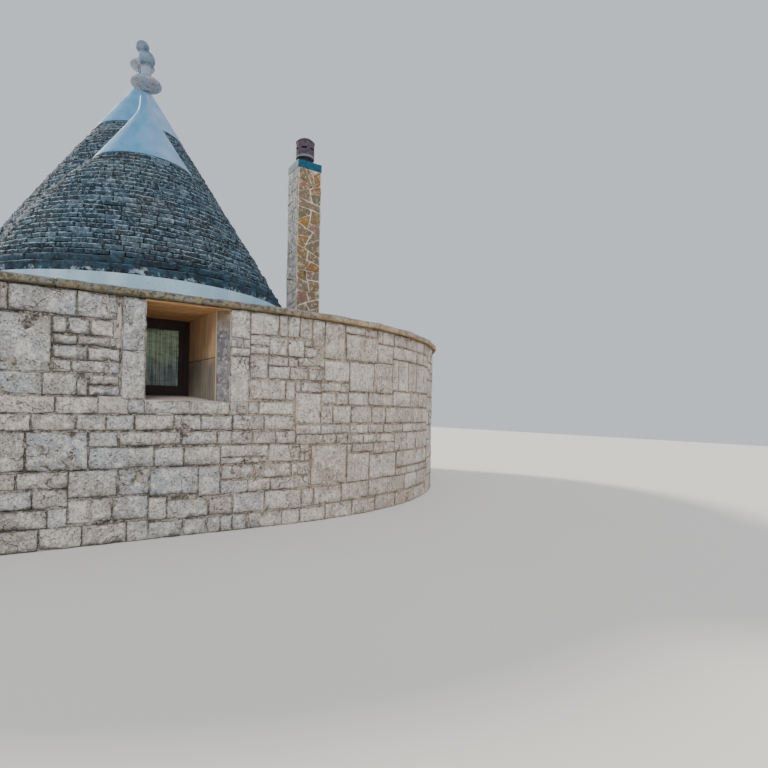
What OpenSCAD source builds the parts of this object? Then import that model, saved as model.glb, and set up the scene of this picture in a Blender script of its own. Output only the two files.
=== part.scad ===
// Trullo house: a round-ended stone house with two joined lapped-stone cones on a flat roof
// Millimetres, Z up, ground at z = 0, origin in the middle of the plan.
// The window wall faces -Y, right is +X.

/* [House plan] */
// outside radius of the two round ends, which is also half of the depth
end_r = 4840; // [3000:10:7000]
// length of the straight run between the round ends
straight_l = 2400; // [1600:10:5000]
// thickness of the stone wall
wall_t = 1400; // [600:10:1500]
// height of the stone wall
wall_h = 2620; // [2200:10:3600]
// thickness of the stone floor
floor_t = 120; // [60:5:300]

/* [Flat roof and ledge] */
// thickness of the ledge stones
ledge_t = 90; // [50:5:200]
// how far the ledge stands out past the wall
ledge_out = 80; // [20:5:200]
// how far the ledge stones reach in over the wall
ledge_in = 480; // [200:10:600]
// thickness of the flat roof
roof_t = 180; // [120:5:400]

/* [Cones] */
// front cone middle, across
front_x = 10; // [-600:10:600]
// rear cone middle, across
rear_x = 265; // [-600:5:600]
// rear cone middle, along the depth
rear_y = 885; // [400:5:1200]
// how far the front cap's foot reaches into the rear cone's side
cap_meet = 97; // [0:1:150]
// radius of the front cone's lowest stones
front_r = 2310; // [1900:10:2600]
// radius of the rear cone's lowest stones
rear_r = 3210; // [2700:10:3500]
// height of the white band under the cones
band_h = 280; // [100:5:600]
// how far the white band stands back under the lowest stones
band_back = 30; // [0:5:80]
// height of the front cone's stonework
front_h = 2180; // [1500:10:3500]
// height of the rear cone's stonework
rear_h = 3860; // [3000:10:5000]
// radius where the front cone's stones give way to its white cap
front_cap_r = 745; // [500:5:1000]
// radius where the rear cone's stones give way to its white cap
rear_cap_r = 830; // [500:5:1000]
// share of the front cone's narrowing that its round shoulder takes
front_shoulder = 0.16; // [0:0.01:0.3]
// share of the rear cone's narrowing that its round shoulder takes
rear_shoulder = 0.04; // [0:0.01:0.3]
// thickness of the lapped stone skin
skin_t = 190; // [100:5:300]
// thickness of the front dome's masonry at its foot, with the skin
front_ring_t = 590; // [350:10:900]
// thickness of the rear dome's masonry at its foot, with the skin
rear_ring_t = 710; // [350:10:1100]
// height of one step of the corbelled domes
corbel_h = 400; // [200:10:600]
// share of a cone's height that its hollow takes
hollow_share = 0.8; // [0.6:0.01:0.85]
// height of one lap of the outer stonework, two courses high
lap_h = 170; // [80:5:600]
// how far each lap stands out under the next one
lap_out = 26; // [5:1:80]

/* [Caps and pinnacles] */
// height of the front white cap
front_cap_h = 1360; // [900:10:1600]
// how hollow the front cap's side is, where 1 is a straight cone
front_flare = 1.1; // [1:0.05:2]
// height of the rear white cap
rear_cap_h = 1470; // [900:10:1600]
// how hollow the rear cap's side is, where 1 is a straight cone
rear_flare = 1.05; // [1:0.05:2]
// how far the caps lie over the highest stones
cap_lip = 20; // [5:1:60]
// length of the plain neck between a cap and its disc
neck_h = 207; // [50:1:400]
// radius of the neck under the pinnacle disc
neck_r = 88; // [60:2:140]
// height of the disc's middle over the cap
disc_up = 120; // [90:5:250]
// radius of the pinnacle disc
disc_r = 242; // [150:2:400]
// thickness of the pinnacle disc
disc_t = 170; // [80:5:260]
// radius of the ball on top
ball_r = 132; // [80:2:200]
// height from the disc middle to the ball middle
ball_up = 400; // [250:5:600]
// radius of the stem between the disc and the ball
stem_r = 76; // [40:2:110]

/* [Window] */
// left edge of the window opening
win_x0 = -358; // [-600:2:-200]
// right edge of the window opening at the face
win_x1 = 550; // [300:2:700]
// height of the outer edge of the window sill
sill_z = 1520; // [900:10:1900]
// thickness of the sill stone
sill_t = 150; // [60:5:250]
// how much the sill rises to the frame
sill_rise = 80; // [0:5:150]
// width of the left jamb stones at the face
jamb_left_w = 240; // [80:2:300]
// width of the right jamb stones at the face
jamb_right_w = 240; // [100:2:300]
// how far the right jamb is cut back at its outer edge
splay = 120; // [20:5:180]
// how much the right jamb narrows the opening on its way to the frame
jamb_taper = 90; // [0:5:120]
// how deep the window frame stands behind the face
frame_in = 1180; // [200:10:1240]
// depth of the window frame
frame_t = 70; // [40:2:120]
// width of the window frame members
frame_w = 60; // [30:2:100]
// width of the sash members
sash_w = 70; // [30:2:100]
// thickness of the boards over the window
board_t = 20; // [10:1:40]
// how much thinner the sash is than its frame, on each side
sash_in = 12; // [4:1:30]
// thickness of the glass
glass_t = 6; // [3:1:12]
// thickness of the hung curtain with its folds
curtain_t = 8; // [4:1:20]
// gap between the curtain and the frame around it
curtain_gap = 5; // [1:1:40]

/* [Door] */
// width of the doorway
door_w = 1040; // [800:10:1300]
// height of the doorway
door_h = 2100; // [1800:10:2300]
// how far the door stands behind the outer face
door_in = 500; // [100:10:900]
// thickness of the door leaf
door_t = 60; // [40:2:90]
// width of the door frame members
door_frame_w = 70; // [40:2:120]
// depth of the door frame
door_frame_t = 110; // [60:2:160]
// how far the leaf stands behind the outer face of its frame
leaf_in = 10; // [0:2:40]

/* [Chimney] */
// gap between the front cone's foot and the chimney's middle
chim_gap = 309; // [300:1:900]
// direction of the chimney from the front cone's middle, in degrees from +X
chim_turn = -17; // [-40:1:10]
// side of the square chimney
chim_w = 430; // [300:10:600]
// height of the chimney over the flat roof
chim_h = 2840; // [1000:10:3500]
// side of the square flue
flue_w = 220; // [120:10:260]
// thickness of the chimney slab
chim_slab_t = 130; // [60:5:200]
// how far the chimney slab stands out
chim_slab_out = 8; // [0:2:80]
// outside radius of the cowl
cowl_r = 160; // [100:5:200]
// height of the cowl drum
cowl_h = 290; // [150:10:500]
// height of the cowl's neck under the drum
cowl_neck_h = 120; // [50:5:250]
// how far the neck stands back under the drum
cowl_step = 35; // [10:5:60]
// thickness of the drum's wall
cowl_t = 60; // [20:5:80]
// height of the slots around the drum
slot_h = 34; // [15:1:60]
// width of one slot
slot_w = 90; // [20:5:100]
// share of the drum's height that the slots' middle stands at
slot_at = 0.55; // [0.3:0.05:0.8]
// how far the lid stands out over the drum
lid_out = 8; // [0:1:40]
// height of the domed lid
lid_h = 82; // [40:1:160]

/* [Hidden] */
$fn = 256;
// how far a cut runs past a face
cut = 1;
// points along the side of a cap
flare_steps = 10;
// points along the rounded edge of a pinnacle disc
disc_steps = 12;
half_l = straight_l / 2;
in_r = end_r - wall_t;
roof_z = wall_h + roof_t;
band_z = roof_z + band_h;
front_in_r = front_r - front_ring_t;
rear_in_r = rear_r - rear_ring_t;
front_top = band_z + front_h;
rear_top = band_z + rear_h;
jamb_z = wall_h - board_t;
sill_in_z = sill_z + sill_rise;
frame_y = -end_r + frame_in;
frame_x1 = win_x1 - splay - jamb_taper;
leaf_y = end_r - door_in;
cowl_z = roof_z + chim_h + chim_slab_t;
// each cone: radius at its foot, radius at its top, height, share of its round shoulder
front_cone = [front_r, front_cap_r, front_h, front_shoulder];
rear_cone = [rear_r, rear_cap_r, rear_h, rear_shoulder];
// the front cone stands where its cap's foot meets the side of the rear cone
cone_apart = stone_r(rear_cone, front_h / rear_h) + front_cap_r - cap_meet;
front_y = rear_y - sqrt(pow(cone_apart, 2) - pow(rear_x - front_x, 2));
chim_x = front_x + (front_r + chim_gap) * cos(chim_turn);
chim_y = front_y + (front_r + chim_gap) * sin(chim_turn);

// plan helpers
module stadium(r, h) {
  linear_extrude(h) union() {
    translate([half_l, 0]) circle(r);
    translate([-half_l, 0]) circle(r);
    square([straight_l, 2 * r], center = true);
  }
}

// one piece of a round end, from angle a0 to a1 about the right end's middle
module end_piece(r0, r1, h, a0, a1) {
  translate([half_l, 0, 0]) rotate([0, 0, a0])
    rotate_extrude(angle = a1 - a0) translate([r0, 0]) square([r1 - r0, h]);
}

module mirrored() {
  mirror([1, 0, 0]) children();
}

module floor_slab() {
  color("#c9bda6") union() {
    stadium(in_r, floor_t);
    translate([-door_w / 2, 0, 0]) cube([door_w, leaf_y + door_t, floor_t]);
  }
}

// walls
module wall_front_left() {
  color("#cfc6b8") translate([-half_l, -end_r, 0])
    cube([half_l + win_x0 - jamb_left_w, wall_t, wall_h]);
}

module wall_front_right() {
  color("#cfc6b8") translate([win_x1 + jamb_right_w, -end_r, 0])
    cube([half_l - win_x1 - jamb_right_w, wall_t, wall_h]);
}

module wall_below_window() {
  color("#cfc6b8") difference() {
    translate([win_x0 - jamb_left_w, -end_r, 0])
      cube([win_x1 - win_x0 + jamb_left_w + jamb_right_w, wall_t, sill_z]);
    translate([win_x0, -end_r - cut, sill_z - sill_t])
      cube([win_x1 - win_x0, wall_t + 2 * cut, sill_t + cut]);
  }
}

module wall_right_front() {
  color("#cfc6b8") end_piece(in_r, end_r, wall_h, -90, -30);
}

module wall_right_end() {
  color("#cfc6b8") end_piece(in_r, end_r, wall_h, -30, 30);
}

module wall_right_back() {
  color("#cfc6b8") end_piece(in_r, end_r, wall_h, 30, 90);
}

module wall_left_front() {
  mirrored() wall_right_front();
}

module wall_left_end() {
  mirrored() wall_right_end();
}

module wall_left_back() {
  mirrored() wall_right_back();
}

module wall_back_left() {
  color("#cfc6b8") translate([-half_l, in_r, 0]) cube([half_l - door_w / 2, wall_t, wall_h]);
}

module wall_back_right() {
  color("#cfc6b8") translate([door_w / 2, in_r, 0]) cube([half_l - door_w / 2, wall_t, wall_h]);
}

module wall_over_door() {
  color("#cfc6b8") translate([-door_w / 2, in_r, door_h]) cube([door_w, wall_t, wall_h - door_h]);
}

// ledge
module ledge_front() {
  color("#a89f8c") translate([-half_l, -end_r - ledge_out, wall_h])
    cube([straight_l, ledge_out + ledge_in, ledge_t]);
}

module ledge_back() {
  color("#a89f8c") translate([-half_l, end_r - ledge_in, wall_h])
    cube([straight_l, ledge_out + ledge_in, ledge_t]);
}

module ledge_right() {
  color("#a89f8c") translate([0, 0, wall_h])
    end_piece(end_r - ledge_in, end_r + ledge_out, ledge_t, -90, 90);
}

module ledge_left() {
  mirrored() ledge_right();
}

// flat roof with the joined round opening under the domes
module roof_half(x0, w) {
  difference() {
    intersection() {
      translate([0, 0, wall_h]) stadium(end_r - ledge_in, roof_t);
      translate([x0, -end_r, wall_h]) cube([w, 2 * end_r, roof_t]);
    }
    room_circles(wall_h - cut, roof_t + 2 * cut);
    translate([chim_x - flue_w / 2, chim_y - flue_w / 2, wall_h - cut])
      cube([flue_w, flue_w, roof_t + 2 * cut]);
  }
}

module room_circles(z, h) {
  translate([front_x, front_y, z]) cylinder(h = h, r = front_in_r);
  translate([rear_x, rear_y, z]) cylinder(h = h, r = rear_in_r);
}

module roof_right() {
  color("#b9b1a2") roof_half(0, half_l + end_r);
}

module roof_left() {
  color("#b9b1a2") roof_half(-half_l - end_r, half_l + end_r);
}

// radius of a cone's stonework at a share t of its height: straight, with a round shoulder at the top
function stone_r(cone, t) = cone[0] - (cone[0] - cone[1]) * ((1 - cone[3]) * t + cone[3] * pow(t, 4));

// lapped outside of a cone as radius and height pairs, from the foot up
function lap_points(cone) =
  let(n = max(3, round(cone[2] / lap_h)))
  [for (i = [0 : n - 1], k = [0 : 1]) [stone_r(cone, (i + k) / n) + k * lap_out, cone[2] * (i + k) / n]];

// whole body of a cone, solid to the axis
module cone_body(cone) {
  rotate_extrude() polygon(concat([[0, 0]], lap_points(cone), [[cone[1], cone[2]], [0, cone[2]]]));
}

// body of the dome masonry inside the lapped skin
module core_body(cone) {
  rotate_extrude() polygon(concat([[0, 0]],
    [for (t = [0 : 0.5 : 1]) [stone_r(cone, t) - skin_t, t * cone[2]]], [[0, cone[2]]]));
}

// stepped hollow of a corbelled dome, open downwards
function corbel_r(foot_r, i, n) = i == 0 ? foot_r : foot_r * (1 - pow((i + 0.6) / n, 1.35));

module dome_hollow(foot_r, cone) {
  h = cone[2] * hollow_share;
  n = max(3, round(h / corbel_h));
  rotate_extrude() polygon(concat([[0, -band_h - cut], [foot_r, -band_h - cut]],
    [for (i = [0 : n - 1], k = [0 : 1]) [corbel_r(foot_r, i, n), h * (i + k) / n]], [[0, h]]));
}

module at_front() {
  translate([front_x, front_y, band_z]) children();
}

module at_rear() {
  translate([rear_x, rear_y, band_z]) children();
}

module hollows() {
  at_front() dome_hollow(front_in_r, front_cone);
  at_rear() dome_hollow(rear_in_r, rear_cone);
}

// white bands
module band_disc(x, y, foot_r) {
  translate([x, y, roof_z]) cylinder(h = band_h, r = foot_r - band_back);
}

module band_rear() {
  color("#e9e7e2") difference() {
    band_disc(rear_x, rear_y, rear_r);
    room_circles(roof_z - cut, band_h + 2 * cut);
  }
}

module band_front() {
  color("#e9e7e2") difference() {
    band_disc(front_x, front_y, front_r);
    band_disc(rear_x, rear_y, rear_r);
    room_circles(roof_z - cut, band_h + 2 * cut);
  }
}

// corbelled domes
module dome_rear() {
  color("#c2baab") difference() {
    at_rear() core_body(rear_cone);
    hollows();
  }
}

module dome_front() {
  color("#c2baab") difference() {
    at_front() core_body(front_cone);
    at_rear() cone_body(rear_cone);
    hollows();
  }
}

// lapped stone skins
module cone_rear() {
  color("#6f7377") difference() {
    at_rear() cone_body(rear_cone);
    at_rear() core_body(rear_cone);
    hollows();
  }
}

module cone_front() {
  color("#6f7377") difference() {
    at_front() cone_body(front_cone);
    at_front() core_body(front_cone);
    at_rear() cone_body(rear_cone);
    hollows();
  }
}

// white caps, flared like a trumpet under a plain neck
module cap_shape(foot_r, h, flare) {
  rotate_extrude() polygon(concat([[0, 0]],
    [for (i = [0 : flare_steps]) let(t = i / flare_steps)
      [neck_r + (foot_r + cap_lip - neck_r) * pow(1 - t, flare), (h - neck_h) * t]],
    [[neck_r, h], [0, h]]));
}

module cap_rear() {
  color("#eceae6") translate([rear_x, rear_y, rear_top]) cap_shape(rear_cap_r, rear_cap_h, rear_flare);
}

module cap_front() {
  color("#eceae6") difference() {
    translate([front_x, front_y, front_top]) cap_shape(front_cap_r, front_cap_h, front_flare);
    at_rear() cone_body(rear_cone);
  }
}

// pinnacle: a disc with a round edge on a short foot, then a stem and a ball
module pinnacle_shape() {
  union() {
    cylinder(h = disc_up, r = neck_r);
    translate([0, 0, disc_up]) rotate_extrude() polygon([for (i = [0 : disc_steps])
      let(a = -90 + 180 * i / disc_steps) [disc_r * cos(a), disc_t / 2 * sin(a)]]);
    translate([0, 0, disc_up]) cylinder(h = ball_up, r = stem_r);
    translate([0, 0, disc_up + ball_up]) sphere(ball_r);
  }
}

module pinnacle_rear() {
  color("#d8d4cc") translate([rear_x, rear_y, rear_top + rear_cap_h]) pinnacle_shape();
}

module pinnacle_front() {
  color("#d8d4cc") translate([front_x, front_y, front_top + front_cap_h]) pinnacle_shape();
}

// window stones
module jamb_left() {
  color("#ddd2bd") translate([win_x0 - jamb_left_w, -end_r, sill_z])
    cube([jamb_left_w, wall_t, jamb_z - sill_z]);
}

module jamb_right() {
  color("#ddd2bd") translate([0, 0, sill_z]) linear_extrude(jamb_z - sill_z) polygon([
    [win_x1 + jamb_right_w, -end_r], [win_x1, -end_r], [win_x1 - splay, -end_r + splay],
    [frame_x1, frame_y], [frame_x1, -in_r], [win_x1 + jamb_right_w, -in_r]]);
}

module window_sill() {
  color("#cfc7b7") difference() {
    translate([win_x0, 0, 0]) rotate([90, 0, 90]) linear_extrude(win_x1 - win_x0) polygon([
      [-end_r, sill_z - sill_t], [-in_r, sill_z - sill_t], [-in_r, sill_in_z],
      [frame_y, sill_in_z], [-end_r, sill_z]]);
    jamb_foot();
  }
}

// the part of the sill's raised top that the right jamb stands in
module jamb_foot() {
  translate([0, 0, sill_z]) linear_extrude(sill_rise + cut) polygon([
    [win_x1 + cut, -end_r - cut], [win_x1, -end_r], [win_x1 - splay, -end_r + splay],
    [frame_x1, frame_y], [frame_x1, -in_r + cut], [win_x1 + cut, -in_r + cut]]);
}

module soffit_boards() {
  color("#9a6a3c") translate([win_x0 - jamb_left_w, -end_r, jamb_z])
    cube([win_x1 - win_x0 + jamb_left_w + jamb_right_w, wall_t, board_t]);
}

// a flat panel that fills the window opening up to a margin on all sides
module window_panel(margin, y, t) {
  translate([win_x0 + margin, y, sill_in_z + margin])
    cube([frame_x1 - win_x0 - 2 * margin, t, jamb_z - sill_in_z - 2 * margin]);
}

module window_frame() {
  color("#4a2c20") difference() {
    window_panel(0, frame_y, frame_t);
    window_panel(frame_w, frame_y - cut, frame_t + 2 * cut);
  }
}

module window_sash() {
  color("#52301f") difference() {
    window_panel(frame_w, frame_y + sash_in, frame_t - 2 * sash_in);
    window_panel(frame_w + sash_w, frame_y, frame_t);
  }
}

module window_glass() {
  color("#b8c4bc", 0.5) window_panel(frame_w + sash_w, frame_y + (frame_t - glass_t) / 2, glass_t);
}

module window_curtain() {
  color("#dcd8c8") window_panel(frame_w + curtain_gap, frame_y + frame_t - sash_in, curtain_t);
}

// door on the far side
module door_frame() {
  color("#4a2c20") difference() {
    translate([-door_w / 2, leaf_y - door_frame_t, floor_t])
      cube([door_w, door_frame_t, door_h - floor_t]);
    translate([-door_w / 2 + door_frame_w, leaf_y - door_frame_t - cut, floor_t - cut])
      cube([door_w - 2 * door_frame_w, door_frame_t + 2 * cut, door_h - floor_t - door_frame_w + cut]);
  }
}

module door_leaf() {
  color("#5a3826") translate([-door_w / 2 + door_frame_w, leaf_y - door_t - leaf_in, floor_t])
    cube([door_w - 2 * door_frame_w, door_t, door_h - floor_t - door_frame_w]);
}

module door_step() {
  color("#bdb4a4") translate([-door_w / 2, leaf_y + door_t, 0])
    cube([door_w, door_in - door_t, floor_t]);
}

// chimney
module chimney_shaft() {
  color("#c8a874") translate([chim_x, chim_y, roof_z]) difference() {
    translate([-chim_w / 2, -chim_w / 2, 0]) cube([chim_w, chim_w, chim_h]);
    translate([-flue_w / 2, -flue_w / 2, -cut]) cube([flue_w, flue_w, chim_h + 2 * cut]);
  }
}

module chimney_slab() {
  side = chim_w + 2 * chim_slab_out;
  color("#8f979c") translate([chim_x, chim_y, roof_z + chim_h]) difference() {
    translate([-side / 2, -side / 2, 0]) cube([side, side, chim_slab_t]);
    translate([0, 0, -cut]) cylinder(h = chim_slab_t + 2 * cut, r = cowl_r - cowl_t);
  }
}

// cowl: a neck, then a drum with a row of slots under a domed lid
module cowl_pipe() {
  color("#7d4f45") translate([chim_x, chim_y, cowl_z]) difference() {
    union() {
      cylinder(h = cowl_neck_h, r = cowl_r - cowl_step);
      translate([0, 0, cowl_neck_h]) cylinder(h = cowl_h, r = cowl_r);
    }
    translate([0, 0, -cut]) cylinder(h = cowl_neck_h + cowl_h + 2 * cut, r = cowl_r - cowl_t);
    for (turn = [0 : 60 : 300])
      rotate([0, 0, turn]) translate([0, -slot_w / 2, cowl_neck_h + slot_at * cowl_h - slot_h / 2])
        cube([cowl_r + cut, slot_w, slot_h]);
  }
}

module cowl_lid() {
  rim_r = cowl_r + lid_out;
  dome_r = (rim_r * rim_r + lid_h * lid_h) / (2 * lid_h);
  color("#7d4f45") translate([chim_x, chim_y, cowl_z + cowl_neck_h + cowl_h])
    intersection() {
      cylinder(h = lid_h + cut, r = rim_r);
      translate([0, 0, lid_h - dome_r]) sphere(dome_r);
    }
}

floor_slab();
wall_front_left();
wall_front_right();
wall_below_window();
wall_right_front();
wall_right_end();
wall_right_back();
wall_left_front();
wall_left_end();
wall_left_back();
wall_back_left();
wall_back_right();
wall_over_door();
ledge_front();
ledge_back();
ledge_right();
ledge_left();
roof_right();
roof_left();
band_front();
band_rear();
dome_front();
dome_rear();
cone_front();
cone_rear();
cap_front();
cap_rear();
pinnacle_front();
pinnacle_rear();
jamb_left();
jamb_right();
window_sill();
soffit_boards();
window_frame();
window_sash();
window_glass();
window_curtain();
door_frame();
door_leaf();
door_step();
chimney_shaft();
chimney_slab();
cowl_pipe();
cowl_lid();
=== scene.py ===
import math
import random

import bmesh
import bpy
from mathutils import Matrix, Vector


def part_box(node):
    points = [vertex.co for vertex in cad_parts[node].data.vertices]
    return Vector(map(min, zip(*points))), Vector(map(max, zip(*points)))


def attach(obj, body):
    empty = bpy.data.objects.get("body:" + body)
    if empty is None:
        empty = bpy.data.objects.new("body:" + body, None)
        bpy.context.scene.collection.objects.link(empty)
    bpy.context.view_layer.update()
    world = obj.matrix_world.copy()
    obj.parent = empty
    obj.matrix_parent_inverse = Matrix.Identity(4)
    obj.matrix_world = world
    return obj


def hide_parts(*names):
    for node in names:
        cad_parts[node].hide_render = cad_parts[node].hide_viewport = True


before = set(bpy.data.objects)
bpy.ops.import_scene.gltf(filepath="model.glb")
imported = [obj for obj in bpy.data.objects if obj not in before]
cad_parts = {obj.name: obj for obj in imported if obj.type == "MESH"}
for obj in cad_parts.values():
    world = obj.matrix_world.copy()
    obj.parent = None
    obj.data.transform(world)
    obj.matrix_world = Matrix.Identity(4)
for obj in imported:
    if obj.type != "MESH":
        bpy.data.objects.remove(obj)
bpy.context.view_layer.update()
scene = bpy.context.scene
print("trullo: frame loaded")


# small helpers for working by operator

def nothingSelected():
    if bpy.context.mode != "OBJECT":
        bpy.ops.object.mode_set(mode="OBJECT")
    bpy.ops.object.select_all(action="DESELECT")


def onlyThis(piece):
    nothingSelected()
    piece.select_set(True)
    bpy.context.view_layer.objects.active = piece


def edit(piece, kind="FACE"):
    onlyThis(piece)
    bpy.ops.object.mode_set(mode="EDIT")
    bpy.ops.mesh.select_mode(type=kind)


def editAll(piece, kind="FACE"):
    edit(piece, kind)
    bpy.ops.mesh.select_all(action="SELECT")


def pick(piece, rule, kind="FACE"):
    # leaves edit mode open with only what the rule wants selected
    edit(piece, kind)
    bpy.ops.mesh.select_all(action="DESELECT")
    shape = bmesh.from_edit_mesh(piece.data)
    if kind == "FACE":
        for face in shape.faces:
            face.select_set(rule(face.calc_center_median()))
    else:
        for vert in shape.verts:
            vert.select_set(rule(vert.co))
    bmesh.update_edit_mesh(piece.data)


def turnFacesOut():
    bpy.ops.mesh.select_all(action="SELECT")
    bpy.ops.mesh.normals_make_consistent(inside=False)


def leaveEdit():
    bpy.ops.object.mode_set(mode="OBJECT")


def freeze(piece):
    onlyThis(piece)
    bpy.ops.object.transform_apply(location=True, rotation=True, scale=True)


def addModifier(piece, kind, **settings):
    onlyThis(piece)
    bpy.ops.object.modifier_add(type=kind)
    modifier = piece.modifiers[-1]
    for name, value in settings.items():
        setattr(modifier, name, value)
    bpy.ops.object.modifier_apply(modifier=modifier.name)


def standingGrid(name, columns, rows, width, height, middle):
    # a grid that stands upright and looks along -Y
    nothingSelected()
    bpy.ops.mesh.primitive_grid_add(x_subdivisions=columns, y_subdivisions=rows, size=1,
                                    location=middle, rotation=(math.radians(90), 0, 0))
    grid = bpy.context.object
    grid.name = name
    grid.scale = (width, height, 1)
    freeze(grid)
    return grid


def copyOf(source, place):
    # a copy with its own mesh, put at a matrix
    twin = source.copy()
    twin.data = source.data.copy()
    twin.matrix_world = place
    scene.collection.objects.link(twin)
    return twin


def joined(parts, name):
    nothingSelected()
    for part in parts:
        part.select_set(True)
    bpy.context.view_layer.objects.active = parts[0]
    bpy.ops.object.join()
    piece = bpy.context.view_layer.objects.active
    piece.name = name
    piece.data.name = name
    freeze(piece)
    return piece


def remove(pieces):
    nothingSelected()
    for piece in pieces:
        piece.select_set(True)
    bpy.ops.object.delete()


def smooth(piece, degrees):
    onlyThis(piece)
    bpy.ops.object.shade_smooth_by_angle(angle=math.radians(degrees))


def roughen(piece, strength, size, seed):
    # uneven surface from a cloud texture, along the normals
    clouds = bpy.data.textures.new("clouds" + str(seed), "CLOUDS")
    clouds.noise_scale = size
    clouds.noise_depth = 3
    addModifier(piece, "DISPLACE", texture=clouds, texture_coords="LOCAL",
                strength=strength, mid_level=0.5)


def jitter(piece, amount, seed):
    editAll(piece, "VERT")
    bpy.ops.transform.vertex_random(offset=amount, uniform=1.0, seed=seed)
    leaveEdit()


def standOnFloor(piece, floor=0.001):
    # flattens what the unevenness pushed below the floor
    pick(piece, lambda co: co.z < floor, "VERT")
    bpy.ops.transform.resize(value=(1, 1, 0), center_override=(0, 0, floor))
    leaveEdit()


def belongs(piece, slot, *replaced):
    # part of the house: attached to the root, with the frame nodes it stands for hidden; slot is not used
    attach(piece, "root")
    if replaced:
        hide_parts(*replaced)
    return piece


# shader maths written as expressions

def byMaths(operation, swapped=False):
    def work(self, other):
        values = (other, self) if swapped else (self, other)
        return self.finish.maths(operation, *values)
    return work


class Wire:
    def __init__(self, finish, socket):
        self.finish = finish
        self.socket = socket

    __add__ = byMaths("ADD")
    __radd__ = byMaths("ADD", True)
    __sub__ = byMaths("SUBTRACT")
    __rsub__ = byMaths("SUBTRACT", True)
    __mul__ = byMaths("MULTIPLY")
    __rmul__ = byMaths("MULTIPLY", True)


def paint(code):
    # a colour written as six hex digits, as a linear colour with alpha
    levels = [int(code[i:i + 2], 16) / 255 for i in (0, 2, 4)]
    return tuple(v / 12.92 if v < 0.04045 else ((v + 0.055) / 1.055) ** 2.4 for v in levels) + (1.0,)


class Finish:
    def __init__(self, name):
        self.material = bpy.data.materials.new(name)
        self.material.use_nodes = True
        self.tree = self.material.node_tree
        self.shader = self.tree.nodes["Principled BSDF"]
        self.places = None

    def feed(self, socket, value):
        # a link, a plain value or a colour code
        if isinstance(value, Wire):
            self.tree.links.new(value.socket, socket)
        else:
            socket.default_value = paint(value) if isinstance(value, str) else value

    def node(self, kind, settings=None, inputs=None, output=0):
        node = self.tree.nodes.new(kind)
        for name, value in (settings or {}).items():
            if name == "stops":
                self.setStops(node.color_ramp, value)
            else:
                setattr(node, name, value)
        for name, value in (inputs or {}).items():
            self.feed(node.inputs[name], value)
        return Wire(self, node.outputs[output])

    def setStops(self, ramp, stops):
        while len(ramp.elements) < len(stops):
            ramp.elements.new(0.5)
        for element, (spot, colour) in zip(ramp.elements, stops):
            element.position = spot
            element.color = paint(colour)

    def maths(self, operation, *values):
        return self.node("ShaderNodeMath", {"operation": operation}, dict(enumerate(values)))

    def place(self):
        if self.places is None:
            self.places = self.node("ShaderNodeTexCoord", output="Object")
        return self.places

    def stretched(self, scale, turn=(0, 0, 0)):
        return self.node("ShaderNodeMapping", {}, {"Vector": self.place(), "Scale": scale, "Rotation": turn})

    def noise(self, scale, detail=3.0, rough=0.55, where=None):
        return self.node("ShaderNodeTexNoise", {}, {
            "Vector": where or self.place(), "Scale": scale, "Detail": detail, "Roughness": rough})

    def wobble(self, amount, *noise):
        # noise about zero
        return (self.noise(*noise) - 0.5) * amount

    def cells(self, scale, feature="F1", where=None):
        return self.node("ShaderNodeTexVoronoi", {"feature": feature},
                         {"Vector": where or self.place(), "Scale": scale}, "Distance")

    def warped(self, scale, amount):
        # places pushed about by noise, for lines that wander
        push = self.node("ShaderNodeTexNoise", {},
                         {"Vector": self.place(), "Scale": scale, "Detail": 4.0}, "Color")
        moved = self.node("ShaderNodeVectorMath", {"operation": "SCALE"}, {0: push, "Scale": amount})
        return self.node("ShaderNodeVectorMath", {"operation": "ADD"}, {0: moved, 1: self.place()})

    def band(self, value, low, high, start=0.0, end=1.0):
        # from start to end as the value goes from low to high, with soft ends
        return self.node("ShaderNodeMapRange", {"interpolation_type": "SMOOTHSTEP"}, {
            "Value": value, "From Min": low, "From Max": high, "To Min": start, "To Max": end})

    def along(self, vector, axis):
        return self.node("ShaderNodeSeparateXYZ", {}, {"Vector": vector}, axis)

    def part(self, axis):
        return self.along(self.place(), axis)

    def facing(self, axis):
        return self.along(self.node("ShaderNodeNewGeometry", output="Normal"), axis)

    def eachPiece(self):
        return self.node("ShaderNodeNewGeometry", output="Random Per Island")

    def fromEdge(self, side):
        # metres from one edge of a stone: left, lower, right or upper
        name, axis = {"left": (0, "X"), "lower": (0, "Y"), "right": (1, "X"), "upper": (1, "Y")}[side]
        return self.along(self.node("ShaderNodeUVMap", {"uv_map": edgeMaps[name]}), axis)

    def fromEnds(self):
        return self.maths("MINIMUM", self.fromEdge("left"), self.fromEdge("right"))

    def nearestEdge(self):
        level = self.maths("MINIMUM", self.fromEdge("lower"), self.fromEdge("upper"))
        return self.maths("MINIMUM", self.fromEnds(), level)

    def mix(self, share, first, second):
        return self.node("ShaderNodeMix", {"data_type": "RGBA"}, {0: share, 6: first, 7: second}, 2)

    def over(self, under, colour, value, low, high, most=1.0):
        # lays a colour over another as the value goes from low to high
        return self.mix(self.band(value, low, high, 0.0, most), under, colour)

    def ramp(self, value, *stops):
        return self.node("ShaderNodeValToRGB", {"stops": stops}, {"Fac": value})

    def bump(self, height, depth, strength=1.0):
        return self.node("ShaderNodeBump", {}, {"Height": height, "Distance": depth, "Strength": strength})

    def done(self, colour, roughness, bump=None, alpha=1.0):
        self.feed(self.shader.inputs["Base Color"], colour)
        self.feed(self.shader.inputs["Roughness"], roughness)
        self.feed(self.shader.inputs["Alpha"], alpha)
        if bump:
            self.feed(self.shader.inputs["Normal"], bump)
        return self.material


# camera: about eye height, a little left of the window

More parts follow.
